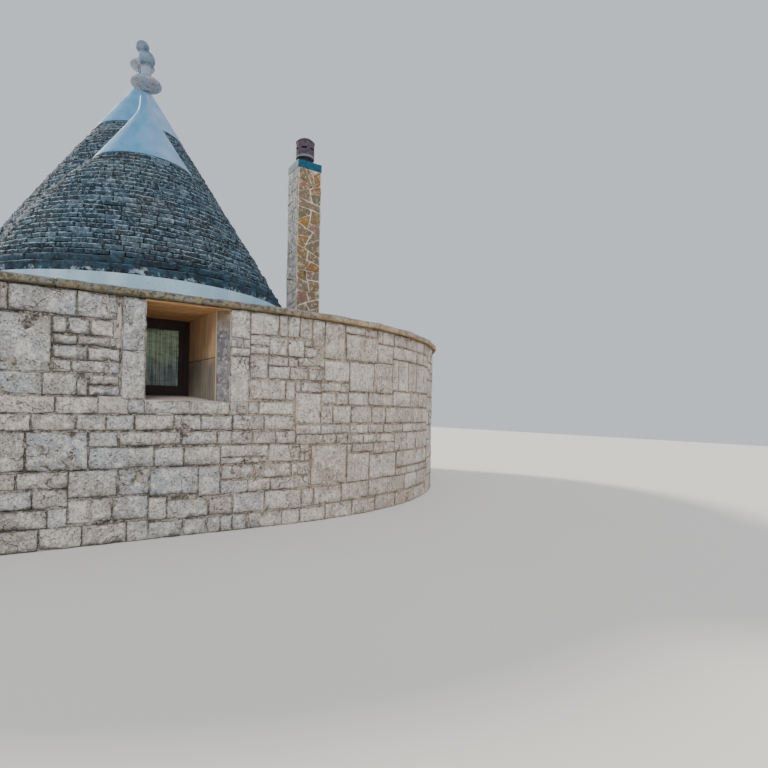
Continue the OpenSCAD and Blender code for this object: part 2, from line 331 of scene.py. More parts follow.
camera = {
    "spot": (-1.21, -10.94, 1.45),
    "heading": 32.8,
    "roll": 1.1,
    "lens": 24.14,
    "sensor": 36.0,
    "shiftX": 0.0007,
    "shiftY": 0.0352,
    "sees": 200.0,
}


def makeCamera():
    bpy.ops.object.camera_add(location=camera["spot"])
    eye = bpy.context.object
    eye.name = "eye"
    eye.data.sensor_width = camera["sensor"]
    eye.data.lens = camera["lens"]
    eye.data.shift_x = camera["shiftX"]
    eye.data.shift_y = camera["shiftY"]
    eye.data.clip_end = camera["sees"]
    heading = Matrix.Rotation(-math.radians(camera["heading"]), 4, "Z")
    level = Matrix.Rotation(math.radians(90), 4, "X")
    roll = Matrix.Rotation(math.radians(camera["roll"]), 4, "Z")
    eye.matrix_world = Matrix.Translation(camera["spot"]) @ heading @ level @ roll
    scene.camera = eye


makeCamera()
print("trullo: camera set")

# sizes read from the frame

wallLow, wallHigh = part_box("wall_front_left")
endRadius = -wallLow[1]
halfStraight = -wallLow[0]
wallTop = wallHigh[2]
windowLow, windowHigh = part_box("window_sill")
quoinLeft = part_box("jamb_left")
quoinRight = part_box("jamb_right")
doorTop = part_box("wall_over_door")[0][2]
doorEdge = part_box("wall_over_door")[1][0]
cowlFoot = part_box("cowl_pipe")[0][2]
halfRound = math.pi * endRadius + 2 * halfStraight


def wallSpot(along, out):
    # a point off the outer face, by its distance round from the middle of the window side, and the turn there
    along = (along + halfRound) % (2 * halfRound) - halfRound
    side = 1 if along >= 0 else -1
    run = abs(along)
    reach = endRadius + out
    if run <= halfStraight:
        return Vector((side * run, -reach, 0)), 0.0
    angle = (run - halfStraight) / endRadius
    if angle <= math.pi:
        across = halfStraight + reach * math.sin(angle)
        return Vector((side * across, -reach * math.cos(angle), 0)), side * angle
    across = halfStraight - (run - halfStraight - math.pi * endRadius)
    return Vector((side * across, reach, 0)), math.pi


# stones: one block of each proportion is modelled, all others are copies of it
# two maps on each stone hold how far a point is from its left and lower edge, and from the other two

edgeMaps = ("nearEdges", "farEdges")
edgeShares = {}


def makeBlock(name, size, cells, roundness, rounds=2):
    # face at y = 0 looking along -Y, sides running back to y = depth, open at the back
    width, height, depth = size
    block = standingGrid(name, *cells, 1, 1, (0, 0, 0))
    editAll(block, "EDGE")
    inner = (width - 2 * roundness, height - 2 * roundness)
    bpy.ops.transform.resize(value=(inner[0], 1, inner[1]), center_override=(0, 0, 0))
    bpy.ops.mesh.region_to_loop()
    across = inner
    for step in range(1, rounds + 1):
        angle = math.pi / 2 * step / rounds
        before = math.pi / 2 * (step - 1) / rounds
        out = math.sin(angle)
        wide = (inner[0] + 2 * roundness * out, inner[1] + 2 * roundness * out)
        moved = roundness * (math.cos(before) - math.cos(angle))
        bpy.ops.mesh.extrude_region_move(TRANSFORM_OT_translate={"value": (0, moved, 0)})
        bpy.ops.transform.resize(value=(wide[0] / across[0], 1, wide[1] / across[1]),
                                 center_override=(0, 0, 0))
        across = wide
    bpy.ops.mesh.extrude_region_move(TRANSFORM_OT_translate={"value": (0, depth - roundness, 0)})
    turnFacesOut()
    leaveEdit()
    if block.data.polygons[0].normal.y > 0:
        editAll(block)
        bpy.ops.mesh.flip_normals()
        leaveEdit()
    shares = []
    for corner in block.data.loops:
        spot = block.data.vertices[corner.vertex_index].co
        shares += [min(max(spot.x / width + 0.5, 0), 1), min(max(spot.z / height + 0.5, 0), 1)]
    while block.data.uv_layers:
        block.data.uv_layers.remove(block.data.uv_layers[0])
    for mapName in edgeMaps:
        block.data.uv_layers.new(name=mapName)
    edgeShares[name] = shares
    block["size"] = size
    return block


def makeBlocks(name, kind, rounds=2):
    # one block for each width, height and count of faces in the settings
    return [makeBlock(name + str(number), (wide, tall, kind["depth"]), cells, kind["roundness"], rounds)
            for number, (wide, tall, *cells) in enumerate(kind["blocks"])]


def blockFor(blocks, width, height):
    # the block whose proportion is nearest, and then its height
    want = math.log(width / height)

    def unlike(block):
        wide, tall, deep = block["size"]
        return abs(math.log(wide / tall) - want) + 0.3 * abs(math.log(tall / height))

    return min(blocks, key=unlike)


def placeBlock(block, width, height, depth, spot, turn, lean=0.0, roll=0.0):
    size = block["size"]
    scale = Matrix.Diagonal((width / size[0], depth / size[2], height / size[1], 1))
    tilt = Matrix.Rotation(lean, 4, "X") @ Matrix.Rotation(roll, 4, "Y")
    stone = copyOf(block, Matrix.Translation(spot) @ Matrix.Rotation(turn, 4, "Z") @ tilt @ scale)
    shares = edgeShares[block.name]
    sides = (width, height) * (len(shares) // 2)
    near, far = (stone.data.uv_layers[mapName].data for mapName in edgeMaps)
    near.foreach_set("uv", [share * side for share, side in zip(shares, sides)])
    far.foreach_set("uv", [(1 - share) * side for share, side in zip(shares, sides)])
    return stone


walling = {
    "proud": 0.013,
    "unevenProud": 0.004,
    "joint": 0.008,
    "jointVaries": (0.5, 1.7),
    "lean": 0.008,
    "roll": 0.006,
    "depth": 0.07,
    "roundness": 0.009,
    # width, height, and faces across and up
    "blocks": ((0.18, 0.20, 4, 4), (0.32, 0.20, 6, 4), (0.48, 0.18, 8, 3),
               (0.55, 0.40, 8, 6), (0.36, 0.11, 7, 2), (0.20, 0.38, 4, 6)),
    "chips": 0.0035,
    "waves": (0.040, 0.17),
    "ripples": (0.020, 0.05),
    "seed": 7,
    "widths": (0.22, 0.60),
    "lowCourse": (0.20, 0.85),  # courses under this height have stones narrower by this share
    "tallCourse": (0.30, 0.5),  # over this height, this share of the stones is split in uneven rows
    "splitAt": (0.4, 0.6),
    "shortest": 0.7,  # a last stone under this share of the narrow width is given to its neighbour
    "splitWidths": (0.16, 0.42),
    "pairCourse": (0.22, 0.25),  # over this height, this share of the stones is laid in pairs
    # stones beside and under the window as laid, in centimetres: lower edge, upper edge, and the upright
    # joints from left to right
    "laid": (
        (235, 262, -165, -158, -101, -64), (177, 234, -165, -122), (217, 234, -122, -109, -89, -67),
        (206, 216, -121, -100, -70), (191, 205, -121, -91, -61), (178, 191, -121, -105, -61),
        (155, 177, -165, -129, -100, -90), (166, 177, -90, -61), (155, 166, -90, -61),
        (136, 154, -165, -118, -80), (137, 153, -53, -36),
        (119, 136, -165, -138, -100, -73, -46, -6, 23, 59), (119, 137, 59, 98, 137),
        (79, 118, -165, -142, -89), (102, 118, -89, -61, 2, 42, 59, 84, 113, 139),
        (79, 101, -88, -26, 5, 46), (87, 101, 46, 104), (79, 87, 46, 74, 104), (79, 101, 104, 146),
        (90, 101, 146, 161), (79, 90, 146, 153, 161), (61, 78, -165, -149, -106), (50, 78, -106, -61, -30),
        (47, 78, -30, 21), (43, 78, 21, 46), (61, 78, 47, 87, 134, 160), (44, 60, 46, 79),
        (45, 60, 79, 107, 160), (42, 60, -165, -136, -106), (24, 49, -106, -66, -31),
        (22, 41, -165, -123, -106), (20, 46, -31, -12), (20, 42, -12, 33), (20, 42, 33, 61),
        (20, 44, 61, 100, 149, 166), (0, 22, -165, -130, -93, -52, -31),
        (0, 19, -31, 5, 31, 47, 61, 78, 123, 147, 185), (21, 45, 167, 211), (22, 46, 211, 263),
        (0, 21, 185, 231, 278, 330), (235, 262, 79, 115, 127, 143, 161), (226, 262, 161, 180),
        (212, 262, 180, 214), (222, 234, 79, 103), (211, 221, 79, 103), (211, 234, 103, 127, 150),
        (225, 234, 150, 161), (212, 225, 150, 180), (182, 210, 79, 102), (198, 210, 102, 128, 141),
        (200, 211, 141, 180), (182, 198, 102, 130, 156), (182, 199, 156, 178), (183, 211, 180, 222),
        (156, 181, 79, 125, 138), (167, 181, 138, 146, 175), (169, 182, 175, 208, 222), (127, 166, 138, 176),
        (152, 168, 176, 200, 221), (127, 151, 176, 195, 226), (138, 148, 64, 76), (138, 154, 78, 91, 137),
        (113, 126, 139, 176, 225), (100, 113, 140, 180, 201, 221), (47, 99, 162, 219),
        (87, 99, 220, 229, 273), (46, 86, 220, 263), (250, 262, 214, 251, 277), (213, 249, 215, 278),
        (243, 262, 278, 290, 320), (215, 242, 278, 317), (244, 262, 320, 358, 402, 440, 470),
        (224, 243, 317, 374, 401, 436, 470), (171, 212, 222, 271), (171, 215, 271, 317),
        (176, 223, 317, 334, 367, 400, 442, 470), (152, 170, 221, 260, 319), (152, 175, 319, 377, 412, 470),
        (127, 151, 226, 267, 300, 348, 390, 433, 470), (113, 126, 225, 261, 296, 351, 386, 428, 470),
        (99, 112, 221, 250, 278, 326), (83, 99, 273, 298, 326), (84, 112, 326, 365, 403, 470),
        (47, 82, 264, 330), (59, 83, 330, 403, 442, 470), (46, 58, 330, 366, 420, 470),
        (22, 46, 263, 321, 360, 406, 470), (0, 21, 330, 382, 428, 470),
    ),
    "laidEnds": (-1.65, 4.70),
    # cement filled in flush between them
    "filled": (
        (137, 155, -81, -52), (216, 262, -68, -60), (206, 216, -71, -60), (137, 155, 57, 80),
    ),
    "cementProud": 0.004,
    # the rest, in three lifts: how far each stretch runs, and its course lines from the top down
    "lifts": (
        ((2.9, (2.62, 2.34, 2.02, 1.72)),
         (3.3, (2.62, 2.42, 1.98, 1.72)),
         (3.1, (2.62, 2.30, 2.05, 1.72)),
         (9.0, (2.62, 2.36, 2.10, 1.72))),
        ((3.9, (1.72, 1.46, 1.22, 0.95)),
         (2.7, (1.72, 1.40, 1.18, 0.95)),
         (3.5, (1.72, 1.52, 1.20, 0.95)),
         (9.0, (1.72, 1.44, 1.12, 0.95))),
        ((2.1, (0.95, 0.62, 0.30, 0.0)),
         (3.2, (0.95, 0.58, 0.26, 0.0)),
         (3.6, (0.95, 0.70, 0.50, 0.24, 0.0)),
         (9.0, (0.95, 0.62, 0.32, 0.0))),
    ),
    "lintel": (0.18, 0.26),
    "besideDoor": 0.08,
    "slack": 0.01,
    "quoinJoint": 0.52,
    "quoinLines": (0.03, 0.13, 0.22, 0.24),  # small stones let into the right quoin
    "quoinCuts": (0.08, 0.15),
    "sillJoint": 0.47,
}
lintelHalf = doorEdge + walling["lintel"][0]
lintelTop = doorTop + walling["lintel"][1]


def splitRow(rng, left, right, narrow, wide):
    cuts = [left]
    while right - cuts[-1] > wide:
        cuts.append(cuts[-1] + rng.uniform(narrow, wide))
    if right - cuts[-1] < narrow * walling["shortest"] and len(cuts) > 1:
        cuts.pop()
    return cuts + [right]


def stretchOfStones(rng, left, right, lines):
    # squared stones of one stretch as (left, right, bottom, top)
    spots = []
    narrow, wide = walling["widths"]
    lowHeight, narrower = walling["lowCourse"]
    tallHeight, splitShare = walling["tallCourse"]
    pairHeight, pairShare = walling["pairCourse"]
    for top, bottom in zip(lines, lines[1:]):
        height = top - bottom
        cuts = splitRow(rng, left, right, narrow, wide if height > lowHeight else wide * narrower)
        for a, b in zip(cuts, cuts[1:]):
            if height > tallHeight and rng.random() < splitShare:
                middle = bottom + height * rng.uniform(*walling["splitAt"])
                for low, high in ((bottom, middle), (middle, top)):
                    parts = splitRow(rng, a, b, *walling["splitWidths"])
                    spots += [(p, q, low, high) for p, q in zip(parts, parts[1:])]
            elif height > pairHeight and rng.random() < pairShare:
                middle = bottom + height * 0.5
                spots += [(a, b, bottom, middle), (a, b, middle, top)]
            else:
                spots.append((a, b, bottom, top))
    return spots


def clearOfDoor(spots):
    # trims the stones that reach into the doorway or its lintel
    kept = []
    slack = walling["slack"]
    for left, right, bottom, top in spots:
        beside = bottom >= doorTop - slack and top <= lintelTop + slack
        edge = lintelHalf if beside else doorEdge
        if bottom > lintelTop - slack:
            kept.append((left, right, bottom, top))
        elif left < halfRound - edge - walling["besideDoor"]:
            kept.append((left, min(right, halfRound - edge), bottom, top))
    return kept


def sideSpots(rng, start):
    # from the last stone laid by hand to the middle of the door side
    spots = []
    for lift in walling["lifts"]:
        left = start
        for run, lines in lift:
            right = min(left + run, halfRound)
            if right > left:
                spots += stretchOfStones(rng, left, right, lines)
            left = right
    return clearOfDoor(spots)


def fromRows(rows):
    # from centimetres to stones in metres
    spots = []
    for bottom, top, *joints in rows:
        for left, right in zip(joints, joints[1:]):
            spots.append((left / 100, right / 100, bottom / 100, top / 100))
    return spots


def windowSpots():
    left, farLeft = quoinLeft[0][0], quoinLeft[1][0]
    right, farRight = windowHigh[0], quoinRight[1][0]
    joint = quoinLeft[0][2] + walling["quoinJoint"]
    lines = [joint + rise for rise in walling["quoinLines"]]
    cuts = [right + across for across in walling["quoinCuts"]]
    sillCut = windowLow[0] + walling["sillJoint"]
    return [
        (left, farLeft, quoinLeft[0][2], joint),
        (left, farLeft, joint, wallTop),
        (right, farRight, quoinRight[0][2], lines[0]),
        (right, farRight, lines[0], lines[1]),
        (right, cuts[0], lines[1], lines[3]),
        (cuts[0], cuts[1], lines[1], lines[2]),
        (cuts[1], farRight, lines[1], lines[3]),
        (right, farRight, lines[3], wallTop),
        (windowLow[0], sillCut, windowLow[2], quoinLeft[0][2]),
        (sillCut, right, windowLow[2], quoinLeft[0][2]),
    ]


def makeWallStones():
    rng = random.Random(walling["seed"])
    blocks = makeBlocks("block", walling)
    laidLeft, laidRight = walling["laidEnds"]
    groups = {
        "stonesFront": fromRows(walling["laid"]),
        "stonesRight": sideSpots(rng, laidRight),
        "stonesLeft": [(-b, -a, low, high) for a, b, low, high in sideSpots(rng, -laidLeft)],
        "stonesDoor": [(halfRound - lintelHalf, halfRound + lintelHalf, doorTop, lintelTop)],
        "stonesWindow": windowSpots(),
        "cementFills": fromRows(walling["filled"]),
    }
    pieces = []
    for name, spots in groups.items():
        copies = []
        sunk = walling["proud"] - walling["cementProud"] if name == "cementFills" else 0
        for left, right, bottom, top in spots:
            gap = walling["joint"] * rng.uniform(*walling["jointVaries"])
            width, height = right - left - gap, top - bottom - gap
            proud = walling["proud"] + rng.uniform(-1, 1) * walling["unevenProud"] - sunk
            spot, turn = wallSpot((left + right) / 2, proud)
            spot.z = (bottom + top) / 2
            lean, roll = rng.gauss(0, walling["lean"]), rng.gauss(0, walling["roll"])
            copies.append(placeBlock(blockFor(blocks, width, height), width, height, walling["depth"],
                                     spot, turn, lean, roll))
        piece = joined(copies, name)
        jitter(piece, walling["chips"], len(spots))
        roughen(piece, *walling["waves"], len(spots))
        roughen(piece, *walling["ripples"], len(spots) + 1)
        standOnFloor(piece)
        smooth(piece, 50)
        pieces.append(belongs(piece, "wall_stone"))
    remove(blocks)
    print("trullo: wall stones laid,", sum(len(spots) for spots in groups.values()))
    return pieces


# mortar smeared between the stones and over their edges

pointing = {
    "out": 0.002,
    "swells": (0.022, 0.11),
    "grains": (0.012, 0.035),
    "near": (-1.9, 5.0, 0.022),  # from, to, and the size of a face
    "farCell": 0.05,
    "farRuns": 4,
}


def makePointing(number, left, right, cell):
    sheet = standingGrid("pointing" + str(number), round((right - left) / cell), round(wallTop / cell),
                         right - left, wallTop, ((left + right) / 2, 0, wallTop / 2))

    def inOpening(spot):
        window = quoinLeft[0][0] < spot.x < quoinRight[1][0] and spot.z > windowLow[2]
        return window or (abs(spot.x - halfRound) < lintelHalf and spot.z < lintelTop)

    pick(sheet, inOpening)
    bpy.ops.mesh.delete(type="FACE")
    leaveEdit()
    roughen(sheet, *pointing["swells"], 40 + number)
    roughen(sheet, *pointing["grains"], 60 + number)
    for vert in sheet.data.vertices:
        spot, turn = wallSpot(vert.co.x, pointing["out"] - vert.co.y)
        vert.co = spot + Vector((0, 0, vert.co.z))
    standOnFloor(sheet)
    smooth(sheet, 60)
    return belongs(sheet, "wall_stone")


# the two cones of lapped stones

coning = {
    "course": 0.079,
    "courseVaries": (0.93, 1.07),
    "lowCourses": (0.125, 0.105),
    "lowLengths": (0.38, 0.75),
    "lengths": (0.12, 0.33),
    "joint": 0.005,
    "jointVaries": (0.5, 1.6),
    "bedVaries": (0.3, 1.3),
    "lean": (-0.05, 0.05),
    "roll": 0.015,
    "depth": 0.17,
    "roundness": 0.013,
    "blocks": ((0.14, 0.08, 3, 2), (0.22, 0.08, 4, 2), (0.32, 0.08, 5, 2), (0.55, 0.115, 7, 2)),
    "standOut": 0.015,
    "uneven": 0.014,
    "unevenVaries": (-1, 0.5),
    "lowUneven": 0.4,
    "starts": (0, 0.2),
    "longest": 1.4,  # a rest under this share of a stone is laid as one
    "chips": 0.0045,
    "ripples": (0.015, 0.055),
    "inside": 0.14,
    "underCap": 0.02,
    # the cone, its cap, whether it ends at the back, how much it bends in at the top, and the seed
    "cones": (("cone_rear", "cap_rear", True, 0.04, 21), ("cone_front", "cap_front", False, 0.16, 34)),
}


def readCone(stones, cap, back, bend, seed):
    low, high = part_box(stones)
    foot = (high[0] - low[0]) / 2
    capLow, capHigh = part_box(cap)
    across = (low[0] + high[0]) / 2
    along = high[1] - foot if back else low[1] + foot
    top = (capHigh[0] - capLow[0]) / 2 - coning["underCap"]
    return {"name": stones, "middle": Vector((across, along, 0)), "low": low[2], "high": high[2],
            "foot": foot, "top": top, "bend": bend, "seed": seed}


def coneRadius(cone, z):
    share = (z - cone["low"]) / (cone["high"] - cone["low"])
    share = min(max(share, 0), 1)
    drawnIn = (1 - cone["bend"]) * share + cone["bend"] * share ** 4
    return cone["foot"] - (cone["foot"] - cone["top"]) * drawnIn


def layCourse(rng, blocks, cone, other, z, height, low):
    # one ring of stones, left out where it would lie inside the other cone
    copies = []
    radius = min(coneRadius(cone, z + height) + coning["standOut"], coneRadius(cone, z))
    angle = rng.uniform(*coning["starts"])
    end = angle + 2 * math.pi
    while angle < end:
        length = rng.uniform(*(coning["lowLengths"] if low else coning["lengths"]))
        step = length / radius
        if end - angle < step * coning["longest"]:
            step = end - angle
        middle = angle + step / 2
        angle += step
        uneven = rng.uniform(*coning["unevenVaries"]) * coning["uneven"] * (coning["lowUneven"] if low else 1)
        out = radius + uneven
        spot = cone["middle"] + Vector((math.sin(middle) * out, -math.cos(middle) * out, 0))
        away = math.hypot(spot.x - other["middle"].x, spot.y - other["middle"].y)
        if z < other["high"] and away < coneRadius(other, z) - coning["inside"]:
            continue
        width = 2 * out * math.tan(step / 2) - coning["joint"] * rng.uniform(*coning["jointVaries"])
        tall = height - coning["joint"] * rng.uniform(*coning["bedVaries"])
        spot.z = z + height / 2
        copies.append(placeBlock(blockFor(blocks, width, tall), width, tall, coning["depth"], spot, middle,
                                 rng.gauss(*coning["lean"]), rng.gauss(0, coning["roll"])))
    return copies


def makeConeStones(cone, other):
    rng = random.Random(cone["seed"])
    blocks = makeBlocks("lap", coning, 1)
    copies = []
    z = cone["low"]
    course = 0
    while z < cone["high"] - 0.02:
        low = course < len(coning["lowCourses"])
        if low:
            height = coning["lowCourses"][course]
        else:
            height = coning["course"] * rng.uniform(*coning["courseVaries"])
        if cone["high"] - z - height < coning["course"] * 0.5:
            height = cone["high"] - z
        copies += layCourse(rng, blocks, cone, other, z, height, low)
        z += height
        course += 1
    piece = joined(copies, cone["name"] + "Stones")
    jitter(piece, coning["chips"], cone["seed"])
    roughen(piece, *coning["ripples"], cone["seed"])
    smooth(piece, 40)
    remove(blocks)
    print("trullo:", piece.name, len(copies), "stones")
    return belongs(piece, "cone_stone", cone["name"])


# turned shapes: a ring of edges drawn up step by step

def turned(name, middle, profile, steps=64):
    # profile is a list of radius and height pairs, closed at both ends
    nothingSelected()
    radius, height = profile[0]
    bpy.ops.mesh.primitive_circle_add(vertices=steps, radius=radius, fill_type="NGON",
                                      location=(middle.x, middle.y, height))
    piece = bpy.context.object
    piece.name = name
    freeze(piece)
    editAll(piece, "EDGE")
    for newRadius, newHeight in profile[1:]:
        bpy.ops.mesh.extrude_edges_move(TRANSFORM_OT_translate={"value": (0, 0, newHeight - height)})
        bpy.ops.transform.resize(value=(newRadius / radius, newRadius / radius, 1),
                                 center_override=(middle.x, middle.y, newHeight))
        radius, height = newRadius, newHeight
    bpy.ops.mesh.edge_face_add()
    turnFacesOut()
    leaveEdit()
    return piece


# white caps and the pinnacles on them

capping = {
    "neck": 0.088,
    "neckHeight": 0.207,
    "edge": 0.014,
    "steps": 14,
    "flareFront": 0.14,
    "flareRear": 0.06,
    "uneven": (0.022, 0.35),
}


def makeCap(nodeName, flare, seed):
    low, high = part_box(nodeName)
    foot = (high[0] - low[0]) / 2
    middle = Vector(((low[0] + high[0]) / 2, low[1] + foot, 0))
    flared = high[2] - low[2] - capping["neckHeight"]
    edge = capping["edge"]
    profile = [(foot - edge, low[2]), (foot - edge * 0.3, low[2] + edge * 0.4)]
    for i in range(capping["steps"] + 1):
        share = i / capping["steps"]
        spread = (math.hypot(1 - share, flare) - flare) / (math.hypot(1, flare) - flare)
        radius = capping["neck"] + (foot - edge * 0.2 - capping["neck"]) * spread
        profile.append((radius, low[2] + edge + (flared - edge) * share))
    profile.append((capping["neck"], high[2]))
    piece = belongs(turned(nodeName + "Plaster", middle, profile), "whitewash", nodeName)
    addModifier(piece, "SUBSURF", levels=1, render_levels=1)
    roughen(piece, *capping["uneven"], seed)
    smooth(piece, 50)
    return piece


finial = {
    "neck": 0.088,
    "discUp": 0.12,
    "discHalf": 0.085,
    "discSteps": 12,
    "stem": 0.076,
    "ball": 0.132,
    "ballSteps": 10,
    "open": 0.12,  # angle left open at the top of the ball
    "discInset": 0.003,
    "ballInset": 0.002,
    "uneven": (0.005, 0.07),
}


def makePinnacle(nodeName, seed):
    low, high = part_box(nodeName)
    disc = (high[0] - low[0]) / 2 - finial["discInset"]
    middle = Vector(((low[0] + high[0]) / 2, (low[1] + high[1]) / 2, 0))
    discMiddle = low[2] + finial["discUp"]
    profile = [(finial["neck"], low[2])]
    first, last = -math.acos(finial["neck"] / disc), math.acos(finial["stem"] / disc)
    for i in range(finial["discSteps"] + 1):
        angle = first + (last - first) * i / finial["discSteps"]
        profile.append((disc * math.cos(angle), discMiddle + finial["discHalf"] * math.sin(angle)))
    ball = finial["ball"] - finial["ballInset"]
    ballMiddle = high[2] - finial["ball"]
    start = math.asin(finial["stem"] / ball)
    for i in range(finial["ballSteps"] + 1):
        angle = start + (math.pi - finial["open"] - start) * i / finial["ballSteps"]
        profile.append((ball * math.sin(angle), ballMiddle - ball * math.cos(angle)))
    piece = belongs(turned(nodeName + "Stone", middle, profile), "pinnacle_stone", nodeName)
    roughen(piece, *finial["uneven"], seed)
    smooth(piece, 45)
    return piece


# ledge slabs on the wall head

ledging = {
    "nodes": ("ledge_front", "ledge_back", "ledge_left", "ledge_right"),
    "widths": (0.55, 1.05),
    "reach": 0.056,
    "unevenReach": 0.004,
    "reachVaries": (-2, 1),
    "shallower": 0.02,
    "longest": 1.5,  # a rest under this share of a slab is laid as one
    "joint": 0.010,
    "jointVaries": (0.5, 1.3),
    "thickness": (0.9, 0.97),
    "tilt": 0.004,
    "length": 0.75,
    "cells": (9, 2),
    "roundness": 0.007,
    "seed": 11,
    "chips": 0.004,
    "waves": (0.016, 0.12),
    "bedBack": 0.012,
    "bedThick": 0.7,
    "bedLap": 0.02,
}


def makeLedge():
    rng = random.Random(ledging["seed"])
    low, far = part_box("ledge_front")
    thick = far[2] - low[2]
    depth = far[1] - low[1] - ledging["shallower"]
    size = (ledging["length"], thick, depth)
    straight = makeBlock("slabStraight", size, ledging["cells"], ledging["roundness"])
    curved = makeBlock("slabCurved", size, ledging["cells"], ledging["roundness"])
    reach = endRadius + ledging["reach"]
    pick(curved, lambda co: co.y > depth * 0.5, "VERT")
    bpy.ops.transform.resize(value=(1 - depth / reach, 1, 1), center_override=(0, 0, 0))
    leaveEdit()
    copies = []
    bedding = []
    farStraight = halfRound - halfStraight
    for start, end, block in ((-halfStraight, halfStraight, straight), (halfStraight, farStraight, curved),
                              (farStraight, halfRound + halfStraight, straight),
                              (halfRound + halfStraight, 2 * halfRound - halfStraight, curved)):
        stretch = reach / endRadius if block == curved else 1
        along = start
        while along < end - 0.01:
            width = rng.uniform(*ledging["widths"])
            if end - along < width * ledging["longest"]:
                width = end - along
            out = ledging["reach"] + rng.uniform(*ledging["reachVaries"]) * ledging["unevenReach"]
            spot, turn = wallSpot(along + width / 2, out)
            along += width
            spot.z = low[2] + thick / 2
            wide = width * stretch - ledging["joint"] * rng.uniform(*ledging["jointVaries"])
            high = thick * rng.uniform(*ledging["thickness"])
            copies.append(placeBlock(block, wide, high, depth, spot, turn,
                                     rng.gauss(0, ledging["tilt"]), rng.gauss(0, ledging["tilt"])))
            bed = placeBlock(block, (width + ledging["bedLap"]) * stretch, thick * ledging["bedThick"], depth,
                             spot, turn)
            bed.matrix_world.translation -= Vector((math.sin(turn), -math.cos(turn), 0)) * ledging["bedBack"]
            bedding.append(bed)
    slabs = joined(copies, "ledgeSlabs")
    jitter(slabs, ledging["chips"], 5)
    roughen(slabs, *ledging["waves"], 5)
    beds = joined(bedding, "ledgeBedding")
    for piece in (slabs, beds):
        smooth(piece, 40)
        belongs(piece, "ledge_stone", *ledging["nodes"])
    remove([straight, curved])
    print("trullo: ledge laid,", len(copies), "slabs")
    return slabs, beds


# boards over the window

boarding = {"count": 7, "seat": 0.012, "gap": 0.006, "bevel": 0.002, "sag": 0.002}


def makeBoard(name, low, high, bevel):
    nothingSelected()
    bpy.ops.mesh.primitive_cube_add(size=1, location=(low + high) / 2)
    board = bpy.context.object
    board.name = name
    board.scale = high - low
    freeze(board)
    addModifier(board, "BEVEL", width=bevel, segments=2, limit_method="ANGLE")
    return board


def makeSoffit():
    low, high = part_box("soffit_boards")
    low[0], high[0] = windowLow[0] - boarding["seat"], windowHigh[0] + boarding["seat"]
    step = (high[1] - low[1]) / boarding["count"]
    gap = boarding["gap"] / 2
    boards = []
    for i in range(boarding["count"]):
        front = Vector((low[0], low[1] + i * step + gap, low[2] + boarding["sag"] * (i % 3) / 3))
        back = Vector((high[0], low[1] + (i + 1) * step - gap, high[2]))
        boards.append(makeBoard("soffitBoard", front, back, boarding["bevel"]))
    piece = joined(boards, "soffitBoards")
    smooth(piece, 40)
    return belongs(piece, "soffit_wood", "soffit_boards")


# lace curtain behind the sash

lace = {
    "folds": 11,
    "depth": 0.008,
    "behind": 0.002,
    "drift": (0.6, 9),  # how far the folds wander across, and how often
    "slant": 0.3,
    "flatter": 0.25,  # share the folds lose towards the rod
    "flat": (0.66, 0.87),
    "columns": 132,
    "rows": 24,
}


def makeCurtain():
    low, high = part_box("window_curtain")
    wide = high[0] - low[0]
    drift, often = lace["drift"]
    curtain = standingGrid("laceCurtain", lace["columns"], lace["rows"], wide, high[2] - low[2],
                           ((low[0] + high[0]) / 2, high[1] + lace["behind"], (low[2] + high[2]) / 2))
    for vert in curtain.data.vertices:
        across = (vert.co.x - low[0]) / wide
        drop = (high[2] - vert.co.z) / (high[2] - low[2])
        wander = drift * math.sin(across * often)
        wave = math.sin(across * lace["folds"] * 2 * math.pi + wander + lace["slant"] * drop)
        vert.co.y += lace["depth"] * wave * (1 - lace["flatter"] + lace["flatter"] * drop)
    smooth(curtain, 80)
    belongs(curtain, "curtain_cloth", "window_curtain")
    return curtain


# chimney faced with thin irregular stones

paving = {
    "cuts": 31,
    "choice": (0.7, 1),
    "slant": 0.55,
    "offMiddle": 0.02,
    "joint": 0.013,
    "round": 0.022,
    "uneven": 0.016,
    "proud": 0.006,
    "sunk": 0.004,
    "edge": 0.003,
    "chips": 0.002,
    "seed": 4,
}


def biggestFace(piece, rng):
    # leaves about the biggest face selected and gives its middle, longest direction and normal
    shape = bmesh.from_edit_mesh(piece.data)
    for face in shape.faces:
        face.select_set(False)
    face = max(shape.faces, key=lambda f: f.calc_area() * rng.uniform(*paving["choice"]))
    face.select_set(True)
    edge = max(face.edges, key=lambda e: e.calc_length())
    middle = face.calc_center_median()
    run = (edge.verts[1].co - edge.verts[0].co).normalized()
    normal = face.normal.copy()
    bmesh.update_edit_mesh(piece.data)
    return middle, run, normal


